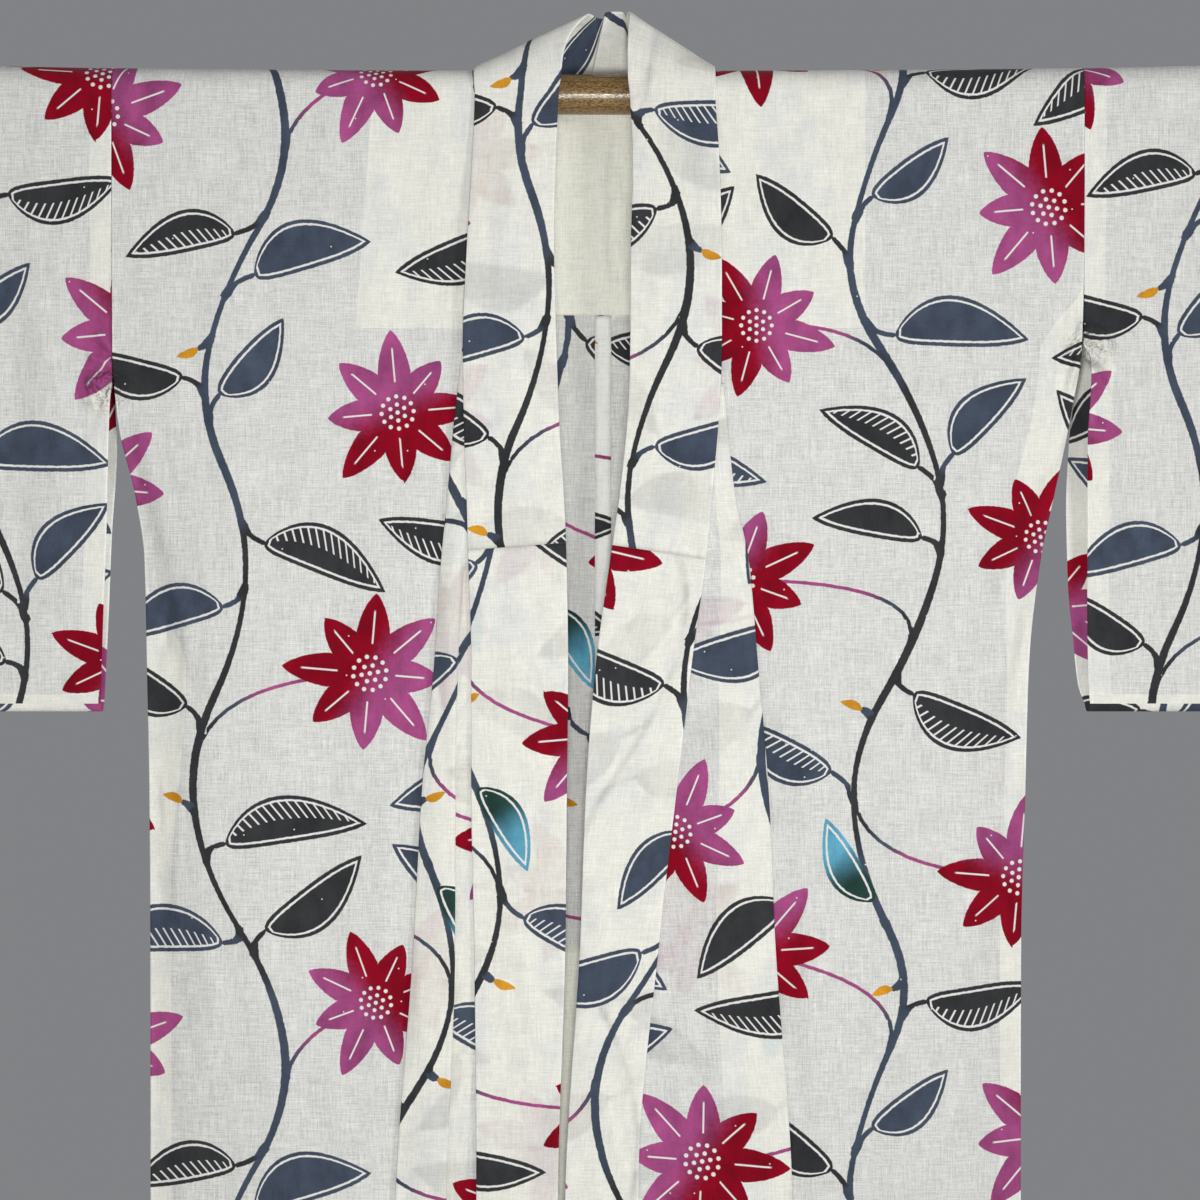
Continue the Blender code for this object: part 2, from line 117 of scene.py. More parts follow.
def smooth(t, column, at):
    """Monotone cubic through a column: the slope at a row is the harmonic mean of the
    slopes beside it, and zero at a peak, so the curve never overshoots a row."""
    x, y = t[next(iter(t))], t[column]
    at = np.clip(np.asarray(at, float), x[0], x[-1])
    step, slope = np.diff(x), np.diff(y) / np.diff(x)
    same = slope[:-1] * slope[1:] > 0
    before, after = np.where(same, slope[:-1], 1.0), np.where(same, slope[1:], 1.0)
    w1, w2 = 2 * step[1:] + step[:-1], step[1:] + 2 * step[:-1]
    mean = np.concatenate([slope[:1], np.where(same, (w1 + w2) / (w1 / before + w2 / after), 0),
                           slope[-1:]])
    i = np.clip(np.searchsorted(x, at) - 1, 0, len(step) - 1)
    h, s = step[i], (at - x[i]) / step[i]
    return (y[i] * (1 + 2 * s) * (1 - s) ** 2 + mean[i] * h * s * (1 - s) ** 2
            + y[i + 1] * s * s * (3 - 2 * s) + mean[i + 1] * h * s * s * (s - 1))


def ease(s):
    """0 to 1 with level ends: 3 s^2 - 2 s^3."""
    s = np.clip(s, 0.0, 1.0)
    return s * s * (3 - 2 * s)


def stacked(*columns):
    """One grid of points, or of flat places, from arrays that fit each other."""
    return np.stack(np.broadcast_arrays(*columns), 2)


print("a quarter of the way, the eased share is", ease(0.25))

# %% [markdown]
# ## Outlines
# DEPTH holds how far the front and the back stand from the middle plane, in front the
# front cloth itself, deep the place where it turns under the overlap panel, and edge the
# side seam. FRONT holds the lines down each front: the side seam, the fold beside the
# overlap panel and how far that is tucked under, the collar's outer and inner edge, and
# on the wearer's right the rolled overlap panel. NECK_ROWS holds the two ends of the
# collar's straight lines on the way round the neck.

# %% Outlines
DEPTH = table("z front deep back edge", [
    (16, 15.1, 15.1, 15.1, 15.1), (0, 15.1, 15.1, 15.1, 15.1),
    (-60, 14.3, 14.3, 14.2, 14.0), (-165, 12.6, 12.4, 12.2, 11.0),
    (-215, 12.0, 10.6, 11.2, 8.0), (-260, 11.4, 8.9, 10.4, 3.0),
    (-293, 11.1, 8.0, 10.0, 0.65), (-350, 11.0, 7.3, 9.2, 0.65),
    (-700, 11.0, 7.3, 8.0, 0.65), (-1600, 11.0, 7.3, 8.0, 0.65)])
FRONT = {
    -1: table("z side fold tuck outer inner roll rollback", [
        (16, 313.0, 79.0, 6, 79.0, 25.0, 79.0, 8), (0, 313.0, 79.0, 6, 79.0, 25.5, 79.0, 8),
        (-50, 313.0, 81.0, 6, 81.0, 27.5, 81.0, 8),
        (-100, 313.0, 84.0, 6, 84.0, 28.4, 84.0, 8),
        (-165, 313.0, 87.4, 6, 86.6, 26.8, 84.0, 8),
        (-215, 309.0, 93.0, 9, 86.0, 25.0, 84.5, 8),
        (-260, 299.0, 97.0, 14, 84.3, 22.2, 87.0, 8),
        (-300, 293.5, 101.0, 20, 83.2, 20.6, 88.0, 8),
        (-367, 291.9, 105.5, 28, 81.3, 19.4, 90.0, 8),
        (-450, 290.3, 113.5, 36, 81.3, 20.2, 91.5, 9),
        (-550, 289.6, 119.0, 42, 79.4, 21.2, 91.8, 10),
        (-700, 289.5, 130.0, 45, 78.0, 25.8, 97.0, 11),
        (-850, 289.5, 136.0, 43, 80.0, 27.0, 101.0, 11),
        (-1600, 292.0, 142.0, 34, 84.0, 27.0, 104.0, 11)]),
    1: table("z side fold tuck outer inner", [
        (16, 313.0, 74.5, 6, 74.5, 19.0), (0, 313.0, 75.0, 6, 75.0, 20.5),
        (-50, 313.0, 78.0, 6, 78.0, 22.6), (-100, 313.0, 79.2, 6, 79.2, 21.3),
        (-165, 311.8, 79.4, 6, 79.4, 20.9), (-200, 306.4, 82.0, 8, 78.0, 19.8),
        (-260, 294.8, 88.5, 13, 72.9, 14.0), (-300, 286.5, 97.0, 18, 68.6, 8.4),
        (-367, 279.0, 103.0, 25, 60.3, -1.0), (-450, 276.5, 110.0, 32, 50.4, -7.6),
        (-550, 273.8, 114.5, 38, 38.9, -11.4), (-700, 273.5, 125.0, 42, 26.0, -20.6),
        (-850, 275.0, 128.0, 34, 26.0, -23.4), (-1600, 280.0, 130.0, 20, 30.0, -23.4)])}
NECKLINE = table("cloth x", [
    (0, 70.5), (8, 70.0), (15, 67.0), (20, 62.0), (24, 54.0), (28, 34.0), (33, 0.2)])
SLEEVE_MOUTH = {
    -1: table("z front back", [
        (20, 313.1, 313.1), (-182, 313.1, 313.1), (-200, 314.8, 313.2), (-230, 316.0, 312.0),
        (-284, 317.5, 315.0), (-342, 319.8, 317.2), (-399, 321.5, 320.2)]),
    1: table("z front back", [
        (20, 313.1, 313.1), (-161, 313.1, 313.1), (-170, 316.8, 312.6), (-178, 318.6, 311.6),
        (-195, 317.8, 309.2), (-227, 316.0, 305.4),
        (-268, 316.0, 303.4), (-317, 316.0, 304.6), (-350, 316.2, 307.6),
        (-382, 317.0, 311.0), (-399, 318.4, 317.4)])}
CROWN = table("x rise", [(0, 0.0), (90, 0.0), (313, 1.6), (450, 4.2), (638, 5.5)])
NECK_ROWS = {
    -1: table("row sx sy sz ex ey ez", [
        (0, -79.0, -17.0, 0.0, -25.5, -17.6, 0.0), (1, -79.6, -16.0, 6.6, -24.0, -17.8, 9.0),
        (2, -79.8, -12.6, 12.6, -22.6, -15.2, 23.0), (3, -79.2, -6.6, 16.6, -17.6, -9.4, 38.0),
        (4, -77.4, 0.6, 17.9, -7.6, -3.2, 50.4), (5, -74.2, 8.6, 15.9, -5.6, 1.4, 52.2),
        (6, -69.0, 15.2, 9.6, -3.0, 5.6, 51.8), (7, -60.0, 18.0, 1.4, -0.4, 9.2, 50.8),
        (8, -36.0, 19.6, -8.0, 3.4, 11.4, 50.4), (9, -6.0, 19.6, -13.0, 8.6, 10.8, 50.8),
        (10, -10.0, 17.6, -14.0, 5.2, 7.0, 54.0), (11, 5.0, 18.2, -14.4, 10.4, 6.2, 54.6)]),
    1: table("row sx sy sz ex ey ez", [
        (0, 75.0, -17.0, 0.0, 20.5, -17.6, 0.0), (1, 75.4, -16.0, 6.6, 19.4, -17.8, 10.0),
        (2, 75.4, -12.6, 12.6, 19.2, -15.2, 24.0), (3, 75.0, -6.6, 16.6, 19.6, -9.4, 39.0),
        (4, 73.8, 0.6, 17.9, 20.6, -3.2, 51.0), (5, 72.0, 8.6, 15.9, 19.6, 1.4, 53.6),
        (6, 68.4, 15.2, 9.6, 19.2, 5.6, 53.4), (7, 60.0, 18.0, 1.4, 18.8, 9.2, 51.8),
        (8, 44.0, 19.0, -8.0, 18.6, 11.2, 51.4), (9, 27.0, 19.2, -13.0, 17.8, 10.6, 51.8),
        (10, 20.0, 19.0, -14.0, 15.4, 6.8, 54.4), (11, 5.0, 18.8, -14.4, 10.4, 6.0, 54.6)])}
print("a front is", FRONT[1]["side"][-1] - FRONT[1]["fold"][-1], "mm wide at the rod")

# %% [markdown]
# ## Creases
# Cotton that was folded in a drawer keeps soft straight creases. Each is one row: two ends
# in breadth and height, a half width, and a depth, positive towards the viewer. The
# height of a crease is its depth times a bell curve of the distance from its line, and it
# fades out towards both ends. On the fronts and sleeves all depths are raised together.

# %% Creases as soft ridges and troughs
RELIEF = 1.7


def creased(x, z, rows):
    """Sum of ridges, a row each of x0 z0 x1 z1 width depth:
    depth * exp(-(distance/width)^2) * fade towards the ends."""
    total = np.zeros_like(x + z)
    for x0, z0, x1, z1, width, depth in rows:
        along_x, along_z = x1 - x0, z1 - z0
        length = math.hypot(along_x, along_z)
        u = ((x - x0) * along_x + (z - z0) * along_z) / length ** 2
        away = ((x - x0) * along_z - (z - z0) * along_x) / length
        fade = ease(u * 4.0) * ease((1 - u) * 4.0)
        total += depth * np.exp(-(away / width) ** 2) * fade
    return total


BODY_CREASES = {
    -1: [(-313, -182, -297, -192, 1.8, 1.8), (-312, -188, -300, -204, 1.8, -1.4),
         (-313, -176, -296, -174, 1.7, 1.2), (-303, -196, -268, -318, 8, 1.3),
         (-292, -330, -240, -420, 8, -1.1),
         (-274, -318, -289, -376, 4, -0.9), (-264, -322, -267, -440, 4, 0.7),
         (-268, -440, -276, -580, 4, 0.6), (-288, -436, -283, -480, 3, -0.6),
         (-284, -456, -266, -462, 3, 0.4), (-286, -500, -280, -540, 4, -0.5),
         (-240, -60, -235, -300, 16, 0.9), (-160, -200, -190, -640, 22, -1.6),
         (-176, 8, -172, -160, 7, 0.6), (-120, -20, -124, -150, 8, -0.6),
         (-215, -420, -205, -900, 18, 1.5), (-250, -560, -240, -1200, 16, -1.5),
         (-132, -420, -140, -700, 9, 0.8), (-150, -700, -170, -1500, 20, 1.8),
         (-200, -900, -210, -1560, 20, -1.6), (-290, -610, -150, -640, 10, 0.5),
         (-290, -300, -130, -310, 8, 0.4), (-252, -120, -170, -190, 12, 0.5)],
    1: [(312, -160, 300, -170, 1.6, 2.2), (311, -165, 301, -182, 1.6, -1.8),
        (309, -172, 302, -196, 2.2, 2.2), (313, -155, 298, -158, 1.7, -1.2),
        (312, -150, 299, -144, 1.8, 1.2), (294, -146, 301, -206, 4, -0.9),
        (290, -150, 288, -222, 5, 0.8),
        (306, -205, 262, -300, 8, 1.5), (298, -235, 250, -345, 7, -1.3),
        (290, -262, 255, -400, 7, 1.3), (280, -330, 262, -480, 6, -1.1),
        (266, -240, 269, -370, 4, 0.7), (272, -420, 264, -540, 4, 0.7),
        (278, -385, 272, -425, 3, -0.6), (270, -455, 262, -520, 4, -0.5),
        (272, -420, 240, -560, 9, 1.1), (215, -60, 225, -330, 18, 0.9),
        (150, -230, 180, -640, 20, -1.5), (205, -420, 200, -900, 18, 1.5),
        (120, -20, 124, -150, 8, 0.5), (240, -560, 235, -1200, 16, -1.4),
        (160, -760, 170, -1500, 18, 1.6), (215, -900, 205, -1560, 18, -1.5),
        (275, -610, 150, -622, 9, 0.5), (134, -380, 138, -640, 8, 0.8)]}
BACK_CREASES = {
    -1: [(-230, -40, -225, -700, 22, 1.6), (-120, -120, -150, -900, 24, -1.5),
         (-60, -300, -70, -1500, 20, 1.4), (-200, -700, -190, -1560, 20, -1.5),
         (-290, -300, -230, -420, 8, 1.3), (-290, -800, -20, -806, 8, 0.5),
         (-270, -330, -282, -560, 4, 0.6), (-96, -420, -88, -760, 8, 0.8),
         (-170, -60, -176, -240, 9, -0.6), (-250, -980, -238, -1400, 9, 0.9)],
    1: [(225, -50, 235, -720, 22, 1.5), (130, -100, 150, -900, 22, -1.6),
        (60, -330, 66, -1500, 20, 1.4), (205, -700, 200, -1560, 20, -1.4),
        (280, -300, 225, -430, 8, 1.3), (280, -800, 20, -792, 8, 0.5),
        (262, -330, 268, -540, 4, 0.6), (100, -520, 92, -820, 8, -0.8),
        (176, -50, 168, -260, 9, 0.6), (246, -1010, 236, -1380, 9, 0.9)]}
print(sum(len(v) for v in BODY_CREASES.values()), "creases on the fronts")

# %% [markdown]
# ## The printed design, laid out flat
# The cloth is dyed right through. Two winding vines carry leaves and flowers, and one
# repeat of them covers the cloth in both directions. A leaf or flower is given by the
# place on its vine where its stalk starts, so it always hangs together. Every motif has
# its own small frame. For each face of a piece the nearest motif of each kind is found
# once, and the face's corners keep their place in that motif's frame, from which the
# finish draws the outline exactly, at any size. An image would blur close up.

# %% Vines, leaves and flowers of one repeat
REPEAT_S, REPEAT_T = 372.0, 600.0
VINES = [table("t s", [(0, 100), (75, 66), (150, 84), (225, 128), (300, 118), (375, 70),
                       (450, 60), (525, 96)]),
         table("t s", [(0, 262), (75, 300), (150, 306), (225, 262), (300, 240), (375, 262),
                       (450, 312), (525, 296)])]
# t is where the stalk leaves the vine, lead is +1 where it leaves towards larger t, and
# towards is the way the leaf grows: 0 across to larger s, 90 along to larger t
LEAVES = table("vine t lead reach towards length half bend dye hatch", [
    (0, 2, -1, 14, 338, 84, 16, 10, 0, 1), (0, 60, 1, 14, 50, 64, 14, -6, 1, 0),
    (0, 78, 1, 14, 166, 74, 14, 8, 0, 0), (0, 142, 1, 16, 16, 78, 17, 10, 1, 0),
    (0, 200, -1, 16, 192, 72, 14, -8, 0, 1), (0, 318, 1, 14, 38, 78, 15, -8, 0, 0),
    (0, 340, -1, 16, 182, 96, 16, -10, 1, 1), (0, 378, 1, 16, 8, 92, 16, 10, 0, 1),
    (0, 462, 1, 14, 146, 62, 14, 7, 0, 0), (0, 560, -1, 14, 196, 76, 15, -9, 1, 0),
    (1, 36, 1, 12, 60, 62, 12, -6, 2, 0), (1, 118, 1, 16, 28, 72, 15, -7, 1, 1),
    (1, 206, -1, 16, 202, 76, 16, 9, 0, 1), (1, 276, 1, 14, 10, 72, 13, 7, 0, 0),
    (1, 322, 1, 14, 134, 68, 14, -7, 1, 0), (1, 314, 1, 16, 30, 74, 14, 8, 0, 1),
    (1, 432, -1, 16, 182, 86, 17, -10, 1, 0), (1, 462, 1, 14, 40, 64, 14, -7, 0, 0),
    (1, 492, 1, 12, 142, 62, 13, 6, 1, 0), (1, 578, 1, 14, 172, 74, 15, 9, 0, 1),
    (0, 120, -1, 8, 200, 15, 3, 1, 3, 0), (0, 410, 1, 8, 160, 14, 3, -1, 3, 0),
    (1, 170, 1, 8, 20, 15, 3, 1, 3, 0), (1, 8, -1, 8, 340, 14, 3, 1, 3, 0)])
FLOWERS = table("vine t lead s_at t_at turn size", [
    (0, 236, 1, 182, 290, 200, 0.94), (0, 440, 1, 178, 502, 310, 1.04),
    (1, 132, -1, 196, 70, 95, 1.0), (1, 214, 1, 378, 262, 20, 1.0),
    (1, 392, 1, 366, 426, 150, 0.95), (1, 556, 1, 368, 622, 40, 1.02)])
print(len(FLOWERS["t"]), "flowers and", len(LEAVES["t"]), "leaves in a repeat of",
      REPEAT_S, "by", REPEAT_T, "mm")

# %% [markdown]
# ## The lines of vines and stalks
# A vine is one smooth curve that joins itself from repeat to repeat. A stalk leaves it in
# the vine's own direction and bends towards its leaf or flower. Both are cut into short
# straight steps that carry a half width and a dye, so one finish draws them all.

# %% Lines of the vines and stalks
STALK_STEPS, VINE_STEPS = 12, 64
VINE_HALF, VINE_SWELL = 2.2, 0.5
LEAF_STALK_HALF, FLOWER_STALK_HALF = 1.6, 1.1
FLOWER_DYE = 2.0                # past charcoal 0 and slate 1 the stalk turns magenta


def vine_at(number, t):
    """Point and unit direction of a vine at t: a quadratic B-spline through the midpoints
    of its rows, so it has no corner, also from one repeat to the next."""
    rows = VINES[number]
    gap = rows["t"][1] - rows["t"][0]
    place = t / gap - 0.5
    i = np.floor(place).astype(int)
    u = place - i
    count = len(rows["s"])
    a, b, c = (rows["s"][(i + k) % count] for k in (0, 1, 2))
    s = (0.5 * (1 - u) ** 2 * a + (0.5 + u - u * u) * b + 0.5 * u * u * c)
    slope = ((b - a) * (1 - u) + (c - b) * u) / gap
    way = np.stack([slope, np.ones_like(slope)], -1)
    return np.stack([s, t], -1), way / np.linalg.norm(way, axis=-1, keepdims=True)


def stalks(kind):
    """Start, bend and end of each stalk, and the unit direction in which it ends."""
    start, way = (np.where(kind["vine"][:, None] < 1, a, b)
                  for a, b in zip(vine_at(0, kind["t"]), vine_at(1, kind["t"])))
    lead = way * kind["lead"][:, None]
    if "s_at" in kind:
        end = np.stack([kind["s_at"], kind["t_at"]], 1)
        bend = start + lead * 0.45 * np.linalg.norm(end - start, axis=1, keepdims=True)
        out = (end - bend) / np.linalg.norm(end - bend, axis=1, keepdims=True)
        return start, bend, end, out
    towards = np.radians(kind["towards"])
    out = np.stack([np.cos(towards), np.sin(towards)], 1)
    bend = start + lead * kind["reach"][:, None] * 0.8
    return start, bend, bend + out * kind["reach"][:, None], out


def vine_dye(number, t):
    """0 charcoal to 1 slate along a vine."""
    return 0.5 + 0.5 * np.tanh(6.0 * np.sin(t / REPEAT_T * 2 * math.pi + 2.2 * number))


def vine_lines():
    """The vines of a repeat as straight steps: starts, ends, half widths, dyes, and 1 where
    a step is the first or the last of its line."""
    parts = []
    for number in (0, 1):
        t = np.linspace(0, REPEAT_T, VINE_STEPS + 1)
        points, _ = vine_at(number, t)
        wide = VINE_HALF + VINE_SWELL * np.sin(t / REPEAT_T * 6 * math.pi + number)
        dye = vine_dye(number, t)
        parts.append((points[:-1], points[1:], wide[:-1], wide[1:], dye[:-1], dye[1:],
                      0 * t[1:], 0 * t[1:]))
    return [np.concatenate(p) for p in zip(*parts)]


def stalk_lines():
    """The same for the stalks of leaves and flowers, which are quadratic curves. They are
    wider where they leave the vine and where the leaf or flower sits."""
    parts = []
    u = np.linspace(0, 1, STALK_STEPS + 1)
    v = u[None, :, None]
    for kind, thin in ((LEAVES, LEAF_STALK_HALF), (FLOWERS, FLOWER_STALK_HALF)):
        a, b, c, _ = (p[:, None] for p in stalks(kind))
        curve = (1 - v) ** 2 * a + 2 * v * (1 - v) * b + v * v * c
        length = np.linalg.norm(c - a, axis=2)
        wide = thin + 0.6 * np.exp(-4.0 * u) + 1.3 * np.exp(-((u * length - 6.0) / 4.5) ** 2)
        below = vine_dye(kind["vine"], kind["t"])[:, None]
        above = FLOWER_DYE if kind is FLOWERS else np.minimum(kind["dye"], 1.0)[:, None]
        dyes = below + (above - below) * ease((u[None] - 0.15) * 1.6)
        first, last = np.zeros((2,) + dyes[:, 1:].shape)
        first[:, 0], last[:, -1] = 1.0, 1.0
        parts.append([x.reshape(-1, *x.shape[2:]) for x in
                      (curve[:, :-1], curve[:, 1:], wide[:, :-1], wide[:, 1:], dyes[:, :-1],
                       dyes[:, 1:], first, last)])
    return [np.concatenate(p) for p in zip(*parts)]


print(len(vine_lines()[0]), "steps of vine and", len(stalk_lines()[0]), "of stalk")

# %% [markdown]
# ## The motif nearest to each face
# The repeat is copied over the flat cloth of a piece. Each face then takes the flower, the
# leaf, the vine step and the stalk step nearest to its middle, less their half thickness,
# and its corners keep their place in that motif's frame.

# %% Nearest motifs
MARGIN = 200.0                  # of repeats round a piece
FLOWER_REACH, LINE_REACH = 300.0, 150.0


def tiled(points, low, high):
    """Copies of points over the repeats between two corners of flat cloth, with a margin:
    the moved points and the number of each in the list."""
    first = np.floor((low - MARGIN) / (REPEAT_S, REPEAT_T)).astype(int)
    last = np.ceil((high + MARGIN) / (REPEAT_S, REPEAT_T)).astype(int)
    moves = np.array([(i * REPEAT_S, j * REPEAT_T) for i in range(first[0], last[0])
                      for j in range(first[1], last[1])])
    row = np.tile(np.arange(len(points)), len(moves))
    return (points[None] + moves[:, None]).reshape(-1, 2), row


def nearest_line(points, start, end, thick, reach, block=2000):
    """For each point the number of the line that reaches furthest over it: the least of
    the distance to the line less its half thickness. Points come in order of t."""
    chosen = np.zeros(len(points), int)
    for first in range(0, len(points), block):
        p = points[first:first + block]
        middle = 0.5 * (start + end)
        near = np.flatnonzero(((middle > p.min(0) - reach) & (middle < p.max(0) + reach)).all(1))
        a, b = start[near], end[near]
        along = b - a
        u = np.clip(((p[:, None] - a) * along).sum(2) / (along ** 2).sum(1), 0, 1)
        away = np.linalg.norm(p[:, None] - a - u[..., None] * along, axis=2) - thick[near]
        chosen[first:first + block] = near[away.argmin(1)]
    return chosen


def in_frame(corners, base, way):
    """Corner places in a motif's frame: along its direction, and across it."""
    d = corners - base[:, None]
    along = d[..., 0] * way[:, None, 0] + d[..., 1] * way[:, None, 1]
    return along, d[..., 1] * way[:, None, 0] - d[..., 0] * way[:, None, 1]


def per_corner(*columns):
    """One vector for each corner, from numbers per face or per corner."""
    shape = max((np.shape(c) for c in columns), key=len)
    return np.stack([np.broadcast_to(c if np.ndim(c) > 1 else np.asarray(c)[:, None], shape)
                     for c in columns], 2)


def flower_places(corners, low, high):
    """Along, across and turn of the nearest flower, for a flower of size 1."""
    middle = corners.mean(1)
    turn = np.radians(FLOWERS["turn"])
    way = np.stack([np.cos(turn), np.sin(turn)], 1)
    base, row = tiled(stalks(FLOWERS)[2], low, high)
    pick = nearest_line(middle, base, base + 0.01, np.zeros(len(base)), FLOWER_REACH)
    row = row[pick]
    along, across = in_frame(corners, base[pick], way[row])
    size = FLOWERS["size"][row][:, None]
    return {"flower": per_corner(along / size, across / size, FLOWERS["turn"][row])}


def leaf_places(corners, low, high):
    """Along, across and length of the nearest leaf, straightened, and its half width, dye
    and hatch."""
    middle = corners.mean(1)
    _, _, ends, out = stalks(LEAVES)
    base, row = tiled(ends, low, high)
    aside = np.stack([-out[:, 1], out[:, 0]], 1) * LEAVES["bend"][:, None] * 0.7
    tip = (ends + out * LEAVES["length"][:, None] + aside)[row] + base - ends[row]
    pick = nearest_line(middle, base + aside[row], tip, 0.75 * LEAVES["half"][row], LINE_REACH)
    row = row[pick]
    along, across = in_frame(corners, base[pick], out[row])
    length = LEAVES["length"][row]
    u = np.clip(along / length[:, None], 0, 1)
    across = across - LEAVES["bend"][row][:, None] * 4 * u * (1 - u) * (1.4 - 0.8 * u)
    dye = LEAVES["dye"][row][:, None] + 0 * along
    return {"leaf": per_corner(along, across, length),
            "leaf_form": per_corner(LEAVES["half"][row], dye, LEAVES["hatch"][row])}


def line_places(corners, low, high, drawn):
    """Distance across the nearest step of a drawn line, its half width and its dye. A
    line is rounded off past its first and last step."""
    middle = corners.mean(1)
    start, end, wide0, wide1, dye0, dye1, first, last = drawn
    base, row = tiled(start, low, high)
    step = (end - start)[row]
    pick = nearest_line(middle, base, base + step, (0.5 * (wide0 + wide1))[row], LINE_REACH)
    row, step = row[pick], step[pick]
    length = np.linalg.norm(step, axis=1)[:, None]
    along, across = in_frame(corners, base[pick], step / length)
    u = along / length
    wide, dye = (a[row][:, None] * (1 - u) + b[row][:, None] * u
                 for a, b in ((wide0, wide1), (dye0, dye1)))
    wide = wide - np.maximum(0, along - length) * last[row][:, None]
    wide = wide - np.maximum(0, -along) * first[row][:, None]
    return per_corner(across, wide, dye)


def motifs(corners):
    """All attributes of the print for faces x corners x (s, t), in order of t."""
    middle = corners.mean(1)
    low, high = middle.min(0), middle.max(0)
    result = flower_places(corners, low, high) | leaf_places(corners, low, high)
    for name, drawn in (("vine", vine_lines()), ("stalk", stalk_lines())):
        result[name] = line_places(corners, low, high, drawn)
    return result


print("a face of cloth keeps", list(motifs(np.zeros((1, 4, 2)))))

# %% [markdown]
# ## Soft wrinkles
# Cotton that has been worn and folded is never flat. The wrinkles are waves in the cloth's
# own surface. Every layer moves away from the robe's middle plane by the same amount at
# the same place, so no layer meets another.

# %% Soft wrinkles
HANDLED = 2.2                   # greatest height of a wrinkle
WAVES = ((6.1, 23.0, 1.0, 0.0), (9.7, -17.0, 0.8, 2.0), (31.0, 11.0, 0.7, 4.0),
         (3.3, 8.6, 0.4, 1.0))  # lengths in breadth and height, weight, phase


def handled(grid):
    """The grid with soft wrinkles: the sum of weight * sin(x / a + z / b + phase), with x
    and z bent by slower waves, is scaled to a height between 0 and 1."""
    x, y, z = grid[..., 0], grid[..., 1], grid[..., 2]
    bent_x = x + 14.0 * np.sin(z / 61 + 1.3) + 9.0 * np.sin(x / 37 + z / 90)
    bent_z = z + 20.0 * np.sin(x / 45 + 0.4) + 12.0 * np.sin(z / 53)
    waves = sum(weight * np.sin(bent_x / a + bent_z / b + phase)
                for a, b, weight, phase in WAVES)
    most = 2 * sum(weight for _, _, weight, _ in WAVES)
    patch = 0.6 + 0.4 * np.sin(x / 83 + z / 131) * np.sin(z / 97 - x / 140 + 2)
    height = HANDLED * patch * (0.5 + waves / most)
    moved = grid.copy()
    moved[..., 1] += height * np.tanh(y / 3.0)
    return moved


print(len(WAVES), "waves, at most", HANDLED, "mm high")

# %% [markdown]
# ## From a grid of points to a piece of cloth
# All the cloth is made the same way: rows of points down the piece, a quad between each
# two rows and columns, and a Solidify modifier for its thickness. The corners carry where
# they lie in the flat cloth, so weave and print follow every fold.

# %% Making a sheet


def put(mesh, name, kind, domain, values):
    """Store an attribute from an array in one call."""
    layer = mesh.attributes.new(name, kind, domain)
    field = "vector" if kind == "FLOAT_VECTOR" else "value"
    layer.data.foreach_set(field, np.ascontiguousarray(values, np.float32).reshape(-1))


def cloth_piece(name, grid, flat, finish, layers=None, loop=False, hole=None,
                shift=(0.0, 0.0), ghost=None, printed=True):
    """A sheet from a grid of points in mm and its flat places (s, t) in mm.

    layers holds two distances for each point: inside the stretch that has more cloth
    behind it, and from the nearest folded edge. loop joins the last row to the first, and
    hole marks faces to leave out. shift lays the print on this piece, and ghost is the
    shift of the print on the cloth behind, which shows through faintly."""
    grid = handled(grid)
    rows, columns = grid.shape[:2]
    index = np.arange(rows * columns).reshape(rows, columns)
    if loop:
        index = np.vstack([index, index[:1]])
    flat_index = np.arange(flat.shape[0] * columns).reshape(-1, columns)

    def quads(i):
        """Four corners of each face, from the corners' numbers in rows."""
        return np.stack([i[:-1, :-1], i[:-1, 1:], i[1:, 1:], i[1:, :-1]], 2).reshape(-1, 4)

    faces, flat_faces = quads(index), quads(flat_index)
    if hole is not None:
        faces, flat_faces = faces[~hole.reshape(-1)], flat_faces[~hole.reshape(-1)]
    used, renumbered = np.unique(faces, return_inverse=True)
    mesh = bpy.data.meshes.new(name)
    mesh.from_pydata((grid.reshape(-1, 3)[used] * MM).tolist(), [],
                     renumbered.reshape(-1, 4).tolist())
    corners = flat.reshape(-1, 2)[flat_faces]
    order = np.argsort(corners[:, :, 1].mean(1), kind="stable")
    if printed:
        for prefix, offset in (("", shift), ("ghost_", ghost)):
            if offset is None:
                continue
            for key, values in motifs(corners[order] + np.array(offset)).items():
                back = np.empty_like(values)
                back[order] = values
                put(mesh, prefix + key, "FLOAT_VECTOR", "CORNER", back)
    uv = mesh.uv_layers.new(name="cloth")
    uv.data.foreach_set("uv", ((corners + np.array(shift)) * MM).astype(np.float32).reshape(-1))
    if layers is not None:
        inside, edge = (np.broadcast_to(v, (rows, columns)).reshape(-1)[used] for v in layers)
        put(mesh, "layers", "FLOAT_VECTOR", "POINT", np.stack([inside, edge, 0 * edge], 1))
    mesh.shade_smooth()
    mesh.materials.append(finish)
    piece = bpy.data.objects.new(name, mesh)
    bpy.context.scene.collection.objects.link(piece)
    thick = piece.modifiers.new("thickness", "SOLIDIFY")
    thick.thickness = CLOTH * MM
    thick.offset = 0.0
    quad = grid.reshape(-1, 3)[faces] * MM
    area = 0.5 * np.linalg.norm(np.cross(quad[:, 2] - quad[:, 0], quad[:, 3] - quad[:, 1]),
                                axis=1).sum()
    print(name, len(faces), "quads,", round(area, 3), "square metres")
    return piece


def arc_length(points):
    """Length along the rows of a grid, from the first column."""
    step = np.linalg.norm(np.diff(points, axis=1), axis=2)
    return np.concatenate([np.zeros((len(points), 1)), np.cumsum(step, 1)], 1)


